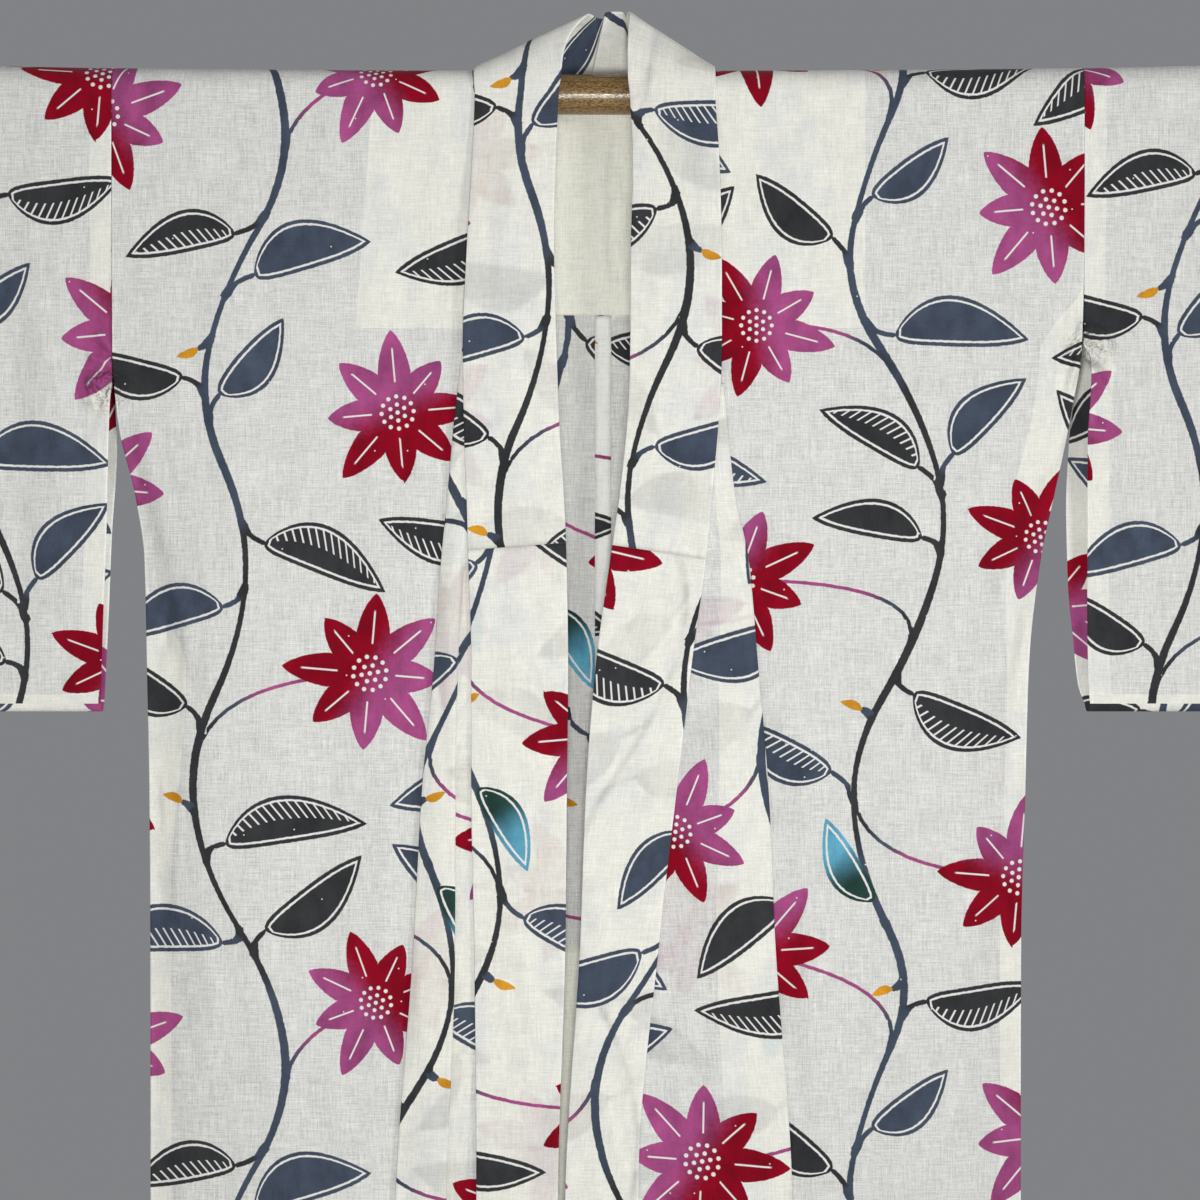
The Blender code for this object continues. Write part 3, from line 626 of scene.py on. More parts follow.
def rounded(points, times=3):
    """Corner cutting: each pass swaps a corner for two points a quarter in from it."""
    for _ in range(times):
        a, b = points[:, :-1], points[:, 1:]
        cut = np.stack([0.75 * a + 0.25 * b, 0.25 * a + 0.75 * b], 2)
        cut = cut.reshape(len(points), -1, points.shape[2])
        points = np.concatenate([points[:, :1], cut, points[:, -1:]], 1)
    return points


def spaced(stops):
    """Row places from (from, to, step) stretches, joined."""
    parts = [np.arange(a, b, math.copysign(step, b - a)) for a, b, step in stops]
    return np.concatenate(parts + [[stops[-1][1]]])


print("cloth", CLOTH, "mm thick")

# %% [markdown]
# ## Body panels
# One length of cloth each: up the front, over the rod and down the back. The front and
# back close towards the side seam, and the front turns a little deeper beside the fold
# of the overlap panel. Rows are close where the picture looks and wider near the hem.

# %% Body panels
BODY_SHARES = np.concatenate([np.linspace(0, 0.12, 22), np.linspace(0.132, 1, 72)])[None, :]
ARC = np.radians(np.linspace(90, -90, 19))[:, None]
EDGE = 0.1                      # half the seam between two pieces
LEAST_DEPTH = 0.5               # of front and back, so that a trough never cuts through
SIDE_CLOSING = 44.0             # breadth over which they close to the side seam
FOLD_TURN = (22.0, 24.0)        # where the front turns deeper beside the fold, how fast
LINED_TROUGH, FREE_TROUGH = -0.7, -4.0
FRONT_STOPS = [(HEM_Z, -740.0, 12.0), (-740.0, -330.0, 4.6), (-330.0, -240.0, 3.2),
               (-240.0, -140.0, 1.8), (-140.0, -6.0, 4.2)]
BACK_STOPS = [(-2.0, -14.0, 2.0), (-14.0, HEM_Z, 8.5)]
# where the turned seam of a side begins, and how wide it lies there
TURNED = {
    -1: table("z wide", [(16, 0), (-310, 0), (-370, 26), (-520, 14), (-1600, 14)]),
    1: table("z wide", [(16, 0), (-122, 0), (-151, 19), (-166, 27), (-202, 25), (-250, 27),
                        (-301, 22), (-391, 14), (-1600, 14)])}


def lines(side, z):
    """The named lines of a front at each height, as columns."""
    return {name: smooth(FRONT[side], name, z)[:, None] for name in FRONT[side]}


def depth(name, z):
    """How far a named face stands from the middle plane at each height, as a column."""
    return smooth(DEPTH, name, z)[:, None]


def over_rod(x, angle, radius):
    """Rows that lie on the rod at angles from its top."""
    rise = smooth(CROWN, "rise", np.abs(x))
    return stacked(x, -radius * np.sin(angle), (radius + rise) * np.cos(angle))


def front_depth(x, row, z):
    """Depth of a front: closed at the side seam, turned deeper beside the fold."""
    front, deep, edge = depth("front", z), depth("deep", z), depth("edge", z)
    closing = ease((row["side"] - x) / SIDE_CLOSING)
    turning = ease((row["fold"] + FOLD_TURN[0] - x) / FOLD_TURN[1])
    return edge + (front - edge) * closing - (front - deep) * turning


def lining_edge(side, z):
    """Breadth of the shoulder lining, which slants outwards on the wearer's right."""
    slant = LINING_SLANT * np.clip(z / LINING_FRONT_Z, 0, 1) if side < 0 else 0.0 * z
    return abs(LINING_X[side > 0]) + slant


def body_layers(side, x, z, outer, back):
    """Distance inside the doubled cloth of a panel, and from its outer edge: the greatest
    over the shoulder lining, the turned side seam, the hem, and on the back the turned
    centre seam and the seat lining."""
    lined = np.minimum(lining_edge(side, z) - x,
                       z - np.where(back, LINING_BACK_Z, LINING_FRONT_Z))
    turned = smooth(TURNED[side], "wide", z) - (outer - x)
    centre = np.minimum(ALLOWANCE_X[1] - x, LINING_BACK_Z - z) if side > 0 else -FAR
    seat = np.minimum(SEAT_HALF - x, np.minimum(SEAT_TOP_Z - z, z - SEAT_TOP_Z + SEAT_LENGTH))
    behind = np.where(back, np.maximum(centre, seat), -FAR)
    inside = np.maximum.reduce([lined, turned, HEM_Z + HEM_TURN - z, behind])
    return inside, outer - x


def body_front(side):
    """Points of a front, from the hem up to the rod."""
    z = spaced(FRONT_STOPS)
    row = lines(side, z)
    outer = row["side"] - EDGE
    x = outer - (outer - row["fold"] + row["tuck"]) * BODY_SHARES
    bulge = creased(side * x, z[:, None], BODY_CREASES[side]) * RELIEF
    trough = LINED_TROUGH + FREE_TROUGH * ease((-150.0 - z) / 60.0)
    bulge = np.maximum(bulge, trough[:, None])
    closed = 3.5 + 9.5 * ease((z[:, None] + 168.0) / 26.0)
    bulge = bulge * ease((outer - x) / closed) * ease((x - row["fold"] + 2) / 24.0)
    return stacked(x, -np.maximum(front_depth(x, row, z) + bulge, LEAST_DEPTH), z[:, None])


def body_back(side):
    """Points of a back, from the rod down to the hem."""
    z = spaced(BACK_STOPS)
    outer = lines(side, z)["side"] - EDGE
    inner = smooth(NECKLINE, "x", QUARTER - z)[:, None]
    x = outer - (outer - inner) * BODY_SHARES
    edge = depth("edge", z)
    bulge = creased(side * x, z[:, None], BACK_CREASES[side])
    bulge = bulge * ease((outer - x) / 13.0) * ease((x + 2) / 14.0)
    y = edge + (depth("back", z) - edge) * ease((outer - x) / SIDE_CLOSING) + bulge
    return stacked(x, np.maximum(y, LEAST_DEPTH), z[:, None])


def body_panel(side):
    """Grid, flat places and layers of one body panel, front hem first."""
    front, back = body_front(side), body_back(side)
    across = SLEEVE_SEAM_X - EDGE
    share = ease((math.pi / 2 - ARC) / (math.pi / 2))
    inner = front[-1, -1, 0] + (smooth(NECKLINE, "x", 0.0) - front[-1, -1, 0]) * share
    inner = np.where(ARC < 0, smooth(NECKLINE, "x", -ARC * BODY_RADIUS), inner)
    top = over_rod(across - (across - inner) * BODY_SHARES, ARC, BODY_RADIUS)
    grid = np.concatenate([front, top, back])
    along = np.concatenate([front[:, 0, 2] - QUARTER, -ARC[:, 0] * BODY_RADIUS,
                            QUARTER - back[:, 0, 2]])
    flat = stacked(SLEEVE_SEAM_X - grid[..., 0], along[:, None])
    behind = (np.arange(len(grid)) > len(front) + len(top) // 2)[:, None]
    layers = body_layers(side, grid[..., 0], grid[..., 2], grid[:, :1, 0], behind)
    grid[..., 0] *= side
    return grid, flat, layers


BODY_SHIFT = {-1: (12.0, 300.0), 1: (155.0, 0.0)}
print("a body panel has", *body_panel(1)[0].shape[:2], "rows and columns")

# %% [markdown]
# ## Overlap panels
# Each runs from a seam under the front's edge round a tight hairpin fold, and lies flat
# to the collar. The wearer's right one rolls back on itself from a third of the way down.
# The sections are corners, cut round.

# %% Overlap panels
OKUMI_CREASES = {
    -1: [(-118, -520, -104, -700, 6, 0.8), (-128, -640, -112, -900, 7, -0.8),
         (-98, -300, -94, -420, 5, 0.5), (-125, -900, -118, -1500, 9, 0.9),
         (-104, -360, -96, -470, 4, -0.5), (-112, -560, -122, -640, 4, 0.6)],
    1: [(60, -690, 108, -560, 9, 1.2), (52, -660, 100, -500, 8, -1.0),
        (70, -500, 96, -340, 7, 0.8), (40, -760, 90, -690, 10, 1.0),
        (80, -505, 64, -566, 3, -0.8), (86, -505, 70, -566, 4, 0.6),
        (54, -556, 42, -596, 3, -0.8), (59, -556, 48, -600, 4, 0.6),
        (76, -575, 71, -650, 4, 0.6), (88, -600, 84, -690, 5, -0.6),
        (101, -604, 62, -656, 7, 0.6), (112, -640, 104, -740, 6, 0.7),
        (60, -880, 70, -1500, 14, 1.4), (95, -900, 90, -1500, 12, -1.3)]}


OKUMI_WAVE = 1.6                # of the left panel below the over-collar
# the hairpin: how far each corner lies inside the fold and above the deep face
HAIRPIN_IN = (3.0, 1.2, 0.0, 1.2)
HAIRPIN_UP = (1.35, 1.8, 1.9, 2.1, 3.3, 4.5)
# the right panel, flat at the top, steps down over the collar and then rolls back: places
# of its corners beside the roll, and their heights
STEP_IN = (0, 4.0, 1.2, 0, -0.5, -0.8, -1.1, -1.6, -3.2, 0, 0)
STEP_UP = (7.3, 8.3, 8.5, 7.5, 6.8, 6.1, 5.4, 4.8, 4.2, 4.1, 4.1)
ROLL_UP = (7.5, 8.3, 8.5, 7.3, 6.1, 6.1, 5.05, 4.0, 3.9, 4.1, 4.1)
FLAT_UP = {-1: 4.7, 1: 4.6}


def rolled_face(z, row, flat, end):
    """Breadths and heights of the right panel's face, from flat to stepped to rolled."""
    fold, outer, roll, rollback = row["fold"], row["outer"], row["roll"], row["rollback"]
    step = roll + np.array([STEP_IN])
    step[:, [0, 9, 10]] = np.hstack([0.5 * (fold + roll), outer - 1.0, end])
    rolled = np.hstack([0.5 * (fold + roll), roll + 4.0, roll + 1.2, roll, roll + 1.3,
                        roll + rollback, roll + rollback + 1.1, roll + rollback - 0.2,
                        roll - 2.0, outer - 1.0, end])
    stepped = ease((z[:, None] + 245.0) / -75.0)
    turned = ease((z[:, None] + 320.0) / -110.0)
    x = (flat * (1 - stepped) + step * stepped) * (1 - turned) + rolled * turned
    level = FLAT_UP[-1] * (1 - stepped) + np.array([STEP_UP]) * stepped
    return x, level * (1 - turned) + np.array([ROLL_UP]) * turned


def okumi_panel(side):
    """Grid, flat places and layers of one overlap panel, upper point first."""
    z = spaced([(OKUMI_TOP[side], -740.0, -3.0), (-740.0, HEM_Z, -8.0)])
    row = lines(side, z)
    deep = depth("deep", z)
    fold, outer = row["fold"], row["outer"]
    down = ease((z[:, None] + 600.0) / -240.0)
    end = (outer - 14.0) * (1 - down) + (row["inner"] + 1.2) * down
    back = row["tuck"] - 0.2
    turn = [fold - inside for inside in HAIRPIN_IN]
    turn = [fold - back, fold - 0.5 * (back + HAIRPIN_IN[0])] + turn
    level = [0 * fold + up for up in HAIRPIN_UP]
    share = np.linspace(0, 1, 11 if side < 0 else 9)[None, :]
    flat = fold - 3.2 + (end - fold + 3.2) * share
    if side < 0:
        face, height = rolled_face(z, row, flat, end)
    else:
        wave = OKUMI_WAVE * ease((z[:, None] + 300) / -250) * np.sin(share * 2 * math.pi)
        face, height = flat, FLAT_UP[1] + np.maximum(wave, -0.4)
    x, level = np.hstack(turn + [face]), np.hstack(level + [height])
    section = stacked(x, -(deep + level), z[:, None])
    grid = rounded(section, 2)
    across = arc_length(grid)
    widest = across[np.arange(len(z)), grid[..., 0].argmax(1)][:, None]
    shown = ease((across - widest) / 6.0) * ease((grid[..., 0] - outer) / 8.0)
    grid[..., 1] -= shown * RELIEF * creased(side * grid[..., 0], grid[..., 2],
                                            OKUMI_CREASES[side])
    flat = np.stack([across - widest + 60.0, QUARTER - grid[..., 2]], 2)
    layers = grid[..., 0] - (fold - row["tuck"]), np.abs(across - widest)
    grid[..., 0] *= side
    return grid, flat, layers


OKUMI_SHIFT = {-1: (215.0, 120.0), 1: (60.0, 390.0)}
OKUMI_GHOST = {-1: (120.0, 300.0), 1: (250.0, 60.0)}
print("the hairpin has", len(HAIRPIN_UP), "corners, cut round twice")

# %% [markdown]
# ## Collars
# A collar is a band of cloth folded lengthwise: its front face, a hairpin at each edge and
# a narrow turn behind. Straight lines of the band run from its seam to its folded edge,
# first down the fronts and then over the rod and round the neck, where the band stands up
# and its middle is pinched into a small gable. The face is laid off from those lines
# along the surface's own normal, so the folds stay even all the way.

# %% Collars
BAND_SHARES = np.concatenate([[0.0, 0.02, 0.06], np.linspace(0.12, 0.88, 14), [0.94, 0.98, 1.0]])
COLLAR_CREASES = {
    "over": [(-52, -20, -66, -150, 6, 0.8), (-40, -60, -44, -240, 5, -0.7),
             (-60, -150, -50, -290, 7, 0.7), (-34, -190, -70, -262, 5, 0.5),
             (-86, -226, -24, -219, 1.8, 0.6), (-84, -231, -30, -225, 3, -0.4),
             (-76, -60, -78, -130, 3, 0.4), (-30, -120, -33, -200, 3, 0.5),
             (50, -30, 62, -170, 6, -0.7), (36, -80, 40, -250, 6, 0.8),
             (60, -150, 44, -290, 7, 0.6), (30, -215, 64, -262, 5, -0.5),
             (14, -200, 72, -206, 1.8, 0.5), (70, -40, 72, -120, 3, 0.5)],
    -1: [(-46, -300, -66, -440, 6, 0.8), (-34, -330, -40, -520, 5, -0.8),
         (-60, -470, -40, -620, 7, 0.9), (-48, -560, -62, -700, 6, -0.8),
         (-30, -640, -36, -800, 5, 0.7), (-24, -380, -76, -470, 6, 0.5),
         (-74, -385, -76, -440, 3, 0.5), (-62, -520, -58, -600, 4, 0.5),
         (-40, -560, -36, -640, 3, -0.6), (-52, -636, -60, -724, 4, 0.6),
         (-70, -600, -66, -690, 3, -0.5), (-32, -470, -30, -540, 3, 0.5)],
    1: [(40, -300, 26, -430, 6, 0.8), (24, -320, 10, -500, 5, -0.9),
        (46, -400, 16, -600, 6, 0.9), (0, -480, -8, -660, 6, 0.8),
        (26, -520, 0, -720, 6, -0.8), (6, -640, 0, -800, 7, 0.8),
        (62, -330, 12, -420, 6, 0.5), (0, -343, 40, -348, 1.8, 0.5),
        (2, -642, 15, -694, 3, 0.9), (-3, -660, -16, -708, 3, -0.8),
        (27, -620, 33, -678, 4, 0.7), (9, -610, 0, -650, 3, -0.6),
        (18, -576, 12, -636, 3, 0.5), (-9, -560, -13, -640, 3, 0.6),
        (40, -596, 30, -650, 3, -0.5)]}


END_SLANT = {-1: (-1.8, 2.9), 1: (-7.5, 1.4)}   # of the over-collar's end: outer, inner
END_NEAR = 60.0                 # how far above and below it the lines slant
NECK_FRONT = 17.2               # depth of the collar at the rod
FACE_CROWN = 0.5                # how far the band's face stands out in its middle
# half thickness of a band and the deepest trough in its face
OVER_BAND, MAIN_BAND = (0.55, 0.4), (0.45, 0.5)


def collar_front_rows(side, z, extra):
    """First and last point of each straight line of the band at the heights z. Near the
    over-collar's end the lines slant, as the end was sewn."""
    row = lines(side, z)
    settle = ease(z[:, None] / -120.0)
    y = NECK_FRONT * (1 - settle) + (depth("deep", z) + LEVEL_COLLAR) * settle + extra
    near = ease(1.0 - np.abs(z - OVER_COLLAR_END) / END_NEAR)[:, None]
    ends = [np.hstack([side * row[edge], -y, z[:, None] + near * slant])
            for edge, slant in zip(("outer", "inner"), END_SLANT[side])]
    return np.stack(ends, 1)


def collar_neck_rows(side, at):
    """The same on the way over the rod and round the neck."""
    return np.stack([np.stack([smooth(NECK_ROWS[side], p + axis, at) for axis in "xyz"], 1)
                     for p in "se"], 1)


def normals_of(grid, towards):
    """Unit normals of a grid, all on the side of the direction towards, in its first row."""
    normal = np.cross(np.gradient(grid, axis=0), np.gradient(grid, axis=1))
    normal /= np.linalg.norm(normal, axis=2, keepdims=True)
    if (normal[0, 0] * towards).sum() < 0:
        normal = -normal
    return normal


def band(ends, creases, half, slack):
    """Grid, flat places and layers of a folded band from the ends of its straight lines:
    a short turn at the seam, the face, a hairpin, and the whole way back behind."""
    share = BAND_SHARES[None, :, None]
    middle = ends[:, :1] + (ends[:, 1:] - ends[:, :1]) * share
    normal = normals_of(middle, np.array([0, -1.0, 0]))
    face = middle + normal * (half + FACE_CROWN * np.sin(np.pi * share))
    falling = ease((-2.0 - middle[..., 2]) / 14.0)
    swell = creased(middle[..., 0], middle[..., 2], creases) * falling * RELIEF
    swell = swell * np.sin(np.pi * BAND_SHARES[None, :]) ** 0.5
    face = face + normal * np.maximum(swell, -slack)[..., None]
    way = ends[:, 1] - ends[:, 0]
    way = way / np.linalg.norm(way, axis=1, keepdims=True)

    def hairpin(column, sign):
        """Round one edge: towards the face, the outermost point, and away from it."""
        return np.stack([middle[:, column] + way * sign * (out - 1.0) * half
                         + normal[:, column] * lift * half
                         for out, lift in ((0.75, 0.6), (1.0, 0.0), (0.75, -0.6))], 1)

    behind = (middle - normal * half)[:, ::-1]
    grid = np.concatenate([behind[:, -3:-1], hairpin(0, -1)[:, ::-1], face[:, 1:-1],
                           hairpin(-1, 1), behind[:, 1:-3]], 1)
    across = arc_length(grid)
    along = arc_length(middle[None, :, 8])[0]
    flat = stacked(across, along[:, None])
    folds = [np.abs(across - across[:, [k]]) for k in (3, 4 + len(BAND_SHARES))]
    return grid, flat, (FAR, np.minimum(*folds))


def over_collar():
    """Front lines down to up on the right, round the neck, and down on the left."""
    z = spaced([(OVER_COLLAR_END, -2.0, 4.0)])
    at = np.arange(0, 11.01, 0.1)
    halves = [np.concatenate([collar_front_rows(side, z, 0.1), collar_neck_rows(side, at)])
              for side in (-1, 1)]
    ends = np.concatenate([halves[0], halves[1][-2::-1]])
    return band(ends, COLLAR_CREASES["over"], *OVER_BAND)


def collar(side):
    """One of the lower stretches of the main collar."""
    z = spaced([(OVER_COLLAR_END - 0.1, -740.0, -3.5), (-740.0, COLLAR_END, -8.0)])
    return band(collar_front_rows(side, z, 0.0), COLLAR_CREASES[side], *MAIN_BAND)


COLLAR_SHIFT = {-1: (-90.0, 500.0), 1: (90.0, 500.0)}
OVER_COLLAR_SHIFT, OVER_COLLAR_GHOST = (40.0, 410.0), (200.0, 420.0)
print("the over-collar is", round(np.ptp(over_collar()[1][..., 1])), "mm long")

# %% [markdown]
# ## Sleeves
# A flat tube each, hung over the rod, open towards the body below the seam and open at the
# upper part of the cuff. Where the seam ends it is tacked, and the cloth puckers.

# %% Sleeves
SLEEVE_CREASES = {
    -1: [(-313, -182, -345, -205, 5, 0.8), (-314, -186, -338, -232, 5, -0.8),
         (-311, -176, -331, -169, 1.6, 2.4), (-311, -180, -333, -177, 1.5, -2.0),
         (-311, -183, -332, -187, 1.6, 2.4), (-311, -172, -327, -160, 1.8, -1.6),
         (-311, -187, -327, -197, 1.6, -1.7), (-312, -168, -324, -152, 2, 1.2),
         (-350, -60, -356, -330, 12, 1.0), (-380, -120, -372, -360, 10, -0.9),
         (-366, -20, -362, -180, 8, 0.6), (-470, -40, -480, -380, 16, 1.3),
         (-560, -60, -550, -380, 16, -1.2), (-420, -200, -410, -390, 9, 0.8)],
    1: [(313, -161, 345, -180, 5, 0.9), (314, -166, 336, -215, 5, -0.9),
        (311, -155, 335, -164, 1.7, 2.4), (311, -159, 333, -173, 1.6, -2.0),
        (311, -151, 335, -155, 1.5, 1.8), (311, -147, 329, -143, 1.8, -1.4),
        (313, -165, 333, -182, 1.8, 2.2), (316, -172, 331, -196, 1.8, -1.5),
        (350, -60, 352, -340, 12, 1.0), (376, -100, 370, -330, 10, -0.9),
        (340, -150, 344, -390, 5, 0.6), (470, -40, 480, -380, 16, 1.3),
        (560, -60, 550, -380, 16, -1.2), (420, -190, 412, -390, 9, 0.8)]}
SLEEVE_SHARES = np.concatenate([np.arange(0, 30, 1.2), np.arange(30, 90, 3.0),
                                np.arange(90, 324, 6.5), [324.6]]) / 324.6
ALLOWANCE = 14.0                # turned seam allowance along the sleeve's inner edge
CUFF_TURN = 11.0                # and at the sewn part of the cuff and at the foot
CUFF_HEM = 6.0
CUFF_CLOSING = 45.0             # breadth over which the sewn cuff closes
HANG_HALF, SEWN_HALF = 3.2, 0.65
FOOT_ROUND = 5.0
DEEPEST_PUCKER = -3.0


def sleeve_half_depth(x, z):
    """Half the depth of a sleeve: flat at the bottom, sewn shut below the cuff opening."""
    hang = BODY_RADIUS + (HANG_HALF - BODY_RADIUS) * ease(z / -360.0) ** 0.8
    sewn = ease((z + CUFF_OPENING) / -40.0)
    sewn = sewn * ease((x - SLEEVE_REACH + CUFF_CLOSING) / CUFF_CLOSING)
    sewn = sewn * ease((z - SLEEVE_FOOT - 8.0) / 14.0)
    return hang + (SEWN_HALF - hang) * sewn


def sleeve(side):
    """Grid, flat places and layers of a sleeve: up the front, over, down the back, round
    the foot."""
    z = spaced([(SLEEVE_FOOT + FOOT_ROUND, -230.0, 3.6), (-230.0, -150.0, 1.7),
                (-150.0, -5.0, 4.0)])

    def hanging(face, z):
        """Points of the front or the back at the heights z."""
        mouth = smooth(SLEEVE_MOUTH[side], face, z)[:, None]
        x = mouth + (SLEEVE_REACH - mouth) * SLEEVE_SHARES[None, :]
        high = z[:, None]
        swell = creased(side * x, high, SLEEVE_CREASES[side]) * ease((high + 395) / 30)
        y = sleeve_half_depth(x, high) + np.maximum(swell * RELIEF, DEEPEST_PUCKER)
        return stacked(side * x, y * (-1 if face == "front" else 1), high)

    seam = SLEEVE_SEAM_X + 0.1
    top = over_rod(seam + (SLEEVE_REACH - seam) * SLEEVE_SHARES[None, :], ARC, BODY_RADIUS)
    top[..., 0] *= side
    back, front = hanging("back", z[::-1]), hanging("front", z)
    v = np.linspace(0, 1, 10)[1:-1, None, None]
    foot = back[-1:] * (1 - v) + front[:1] * v
    foot[..., 1] = back[-1:, :, 1] * np.cos(np.pi * v[..., 0])
    foot[..., 2] = SLEEVE_FOOT + FOOT_ROUND * (1 - np.sin(np.pi * v[..., 0]))
    grid = np.concatenate([front, top, back, foot])
    ring = np.concatenate([grid, grid[:1]])
    along = arc_length(ring[None, :, 20])[0] + front[0, 0, 2] - QUARTER
    flat = stacked(np.abs(ring[..., 0]) - SLEEVE_SEAM_X, along[:, None])
    x, z = np.abs(grid[..., 0]), grid[..., 2]
    near = x - np.abs(grid[:, :1, 0])
    sewn = np.minimum(x - SLEEVE_REACH + CUFF_TURN, -CUFF_OPENING - z)
    inside = np.maximum.reduce([ALLOWANCE - near, SLEEVE_FOOT + CUFF_TURN - z,
                                x - SLEEVE_REACH + CUFF_HEM, sewn])
    return grid, flat, (inside, near)


SLEEVE_SHIFT = {-1: (190.0, 80.0), 1: (20.0, 260.0)}
print("a sleeve is", SLEEVE_REACH - SLEEVE_SEAM_X, "mm wide and", SLEEVE_DROP, "mm deep")

# %% [markdown]
# ## Linings and the centre back seam
# A lining lies over the shoulders under the body cloth and shows behind the open neck.
# The centre back seam's allowance is turned to one side, and a seat lining hangs lower
# down inside the back.

# %% Linings
LINING_CREASES = [
    (2, -10, 2, -160, 8, 0.9), (-6, -10, -5, -120, 2.5, 0.6), (9, -8, 9, -130, 2, -0.5),
    (-16, -24, -13, -134, 4, 0.5), (1, -40, 4, -136, 3, 0.4), (14, -60, 17, -130, 3, 0.5),
    (-22, -30, -12, -70, 3, -0.4), (-12, -60, 8, -82, 4, 0.4), (-60, -20, -56, -130, 6, 0.6),
    (70, -20, 66, -130, 6, 0.6), (120, -20, 124, -130, 8, 0.6)]
LINING_RELIEF, LINING_TROUGH = 2.0, -0.4
LINING_INWARD = 1.4             # from the body cloth to the lining under it
LINING_COLUMNS = 130


def shoulder_lining():
    """Grid, flat places and the faces left out at the front of the neck."""
    front = spaced([(LINING_FRONT_Z, -2.0, 8.0)])
    back = spaced([(LINING_NECK_Z, LINING_BACK_Z, -4.0)])
    share = np.linspace(0, 1, LINING_COLUMNS)[None, :]

    def breadth(z):
        """Places from one edge of the lining to the other at each height."""
        low, high = (side * lining_edge(side, z[:, None]) for side in (-1, 1))
        return low + (high - low) * share

    rows = []
    for name, sign, z in (("front", -1, front), ("back", 1, back)):
        x = breadth(z)
        swell = LINING_RELIEF * creased(x, z[:, None], LINING_CREASES)
        y = sign * (depth(name, z) - LINING_INWARD)
        y = y - (sign > 0) * np.maximum(swell, LINING_TROUGH)
        rows.append(stacked(x, y, z[:, None]))
    level = breadth(np.zeros(len(ARC)))
    top = stacked(level, -LINING_RADIUS * np.sin(ARC), LINING_RADIUS * np.cos(ARC))
    grid = np.concatenate([rows[0], top, rows[1]])
    along = np.concatenate([front - QUARTER, -ARC[:, 0] * LINING_RADIUS, QUARTER - back])
    flat = stacked(grid[..., 0], along[:, None])
    middle = 0.5 * (level[0, :-1] + level[0, 1:])
    behind = np.arange(len(grid) - 1) >= len(front) + len(top)
    hole = (np.abs(middle) < NECK_HALF)[None, :] & ~behind[:, None]
    return grid, flat, hole


def flat_on_back(x_low, x_high, z_high, z_low, inward, step):
    """Grid and flat places of a piece that lies against the inside of the back."""
    x = np.linspace(x_low, x_high, max(4, round((x_high - x_low) / step)))[None, :]
    z = np.linspace(z_high, z_low, round((z_high - z_low) / step))
    y = depth("back", z) - inward
    return stacked(x, y, z[:, None]), stacked(x, QUARTER - z[:, None])


print("the shoulder lining is", LINING_X[1] - LINING_X[0], "mm wide")


# %% [markdown]
# ## Finishes
# A small class makes a material and adds its nodes, all by one method. The rest of it
# names the few kinds of node that the cloth and the rod need.

# %% Adding nodes


class Finish:
    """A material with one principled shader, and one way to add a node."""

    def __init__(self, name, roughness, constants=()):
        self.material = bpy.data.materials.new(name)
        self.material.use_nodes = True
        self.tree = self.material.node_tree
        self.shader = self.tree.nodes["Principled BSDF"]
        self.shader.inputs["Roughness"].default_value = roughness
        for socket, value in dict(constants).items():
            self.shader.inputs[socket].default_value = value

    def add(self, kind, settings=(), inputs=()):
        """A node: its settings are set first, then its inputs by name or number."""
        node = self.tree.nodes.new(kind)
        for name, value in dict(settings).items():
            setattr(node, name, value)
        for name, value in dict(inputs).items():
            self.feed(node.inputs[name], value)
        return node

    def feed(self, socket, value):
        """Links a wrapped value or a socket, or sets a number or a colour."""
        if isinstance(value, Value):
            value = value.socket
        if isinstance(value, bpy.types.NodeSocket):
            self.tree.links.new(value, socket)
        else:
            socket.default_value = value

    def parts(self, name):
        """The three numbers of an attribute."""
        place = self.add("ShaderNodeAttribute", {"attribute_name": name})
        split = self.add("ShaderNodeSeparateXYZ", (), {0: place.outputs["Vector"]})
        return [Value(self, split.outputs[i]) for i in range(3)]

    def mix(self, share, first, second):
        """Colour between two colours."""
        return self.add("ShaderNodeMix", {"data_type": "RGBA"},
                        {0: share, 6: first, 7: second}).outputs[2]

    def tinted(self, colour, tint):
        """Colour times a colour."""
        return self.add("ShaderNodeMix", {"data_type": "RGBA", "blend_type": "MULTIPLY"},
                        {0: 1.0, 6: colour, 7: tint}).outputs[2]

    def scaled(self, colour, factor):
        """Colour times a number."""
        return self.add("ShaderNodeVectorMath", {"operation": "SCALE"},
                        {0: colour, "Scale": factor}).outputs[0]

    def stretched(self, vector, scale):
        """A vector scaled by three factors."""
        return self.add("ShaderNodeVectorMath", {"operation": "MULTIPLY"},
                        {0: vector, 1: scale}).outputs[0]

    def noise(self, vector, stretch, detail=2.0):
        """Soft noise between 0 and 1; stretch is how fast it changes along each axis."""
        node = self.add("ShaderNodeTexNoise", {"noise_dimensions": "3D"},
                        {"Vector": self.stretched(vector, stretch), "Scale": 1.0,
                         "Detail": detail})
        return Value(self, node.outputs["Fac"])

    def away(self, place, centre):
        """Distance of a place from a point."""
        node = self.add("ShaderNodeVectorMath", {"operation": "DISTANCE"},
                        {0: place, 1: centre})
        return Value(self, node.outputs["Value"])

    def bumped(self, strength, distance, height):
        """Feeds a height to the normal, and gives the material back."""
        bump = self.add("ShaderNodeBump", (), {"Strength": strength, "Distance": distance,
                                               "Height": height})
        self.feed(self.shader.inputs["Normal"], bump.outputs[0])
        return self.material


print("a finish starts from one principled shader")

# %% [markdown]
# ## Shader arithmetic
# A smaller class wraps a socket, so that the drawing below reads as arithmetic. Each motif
# is a signed distance in millimetres, negative inside.

# %% Shader arithmetic


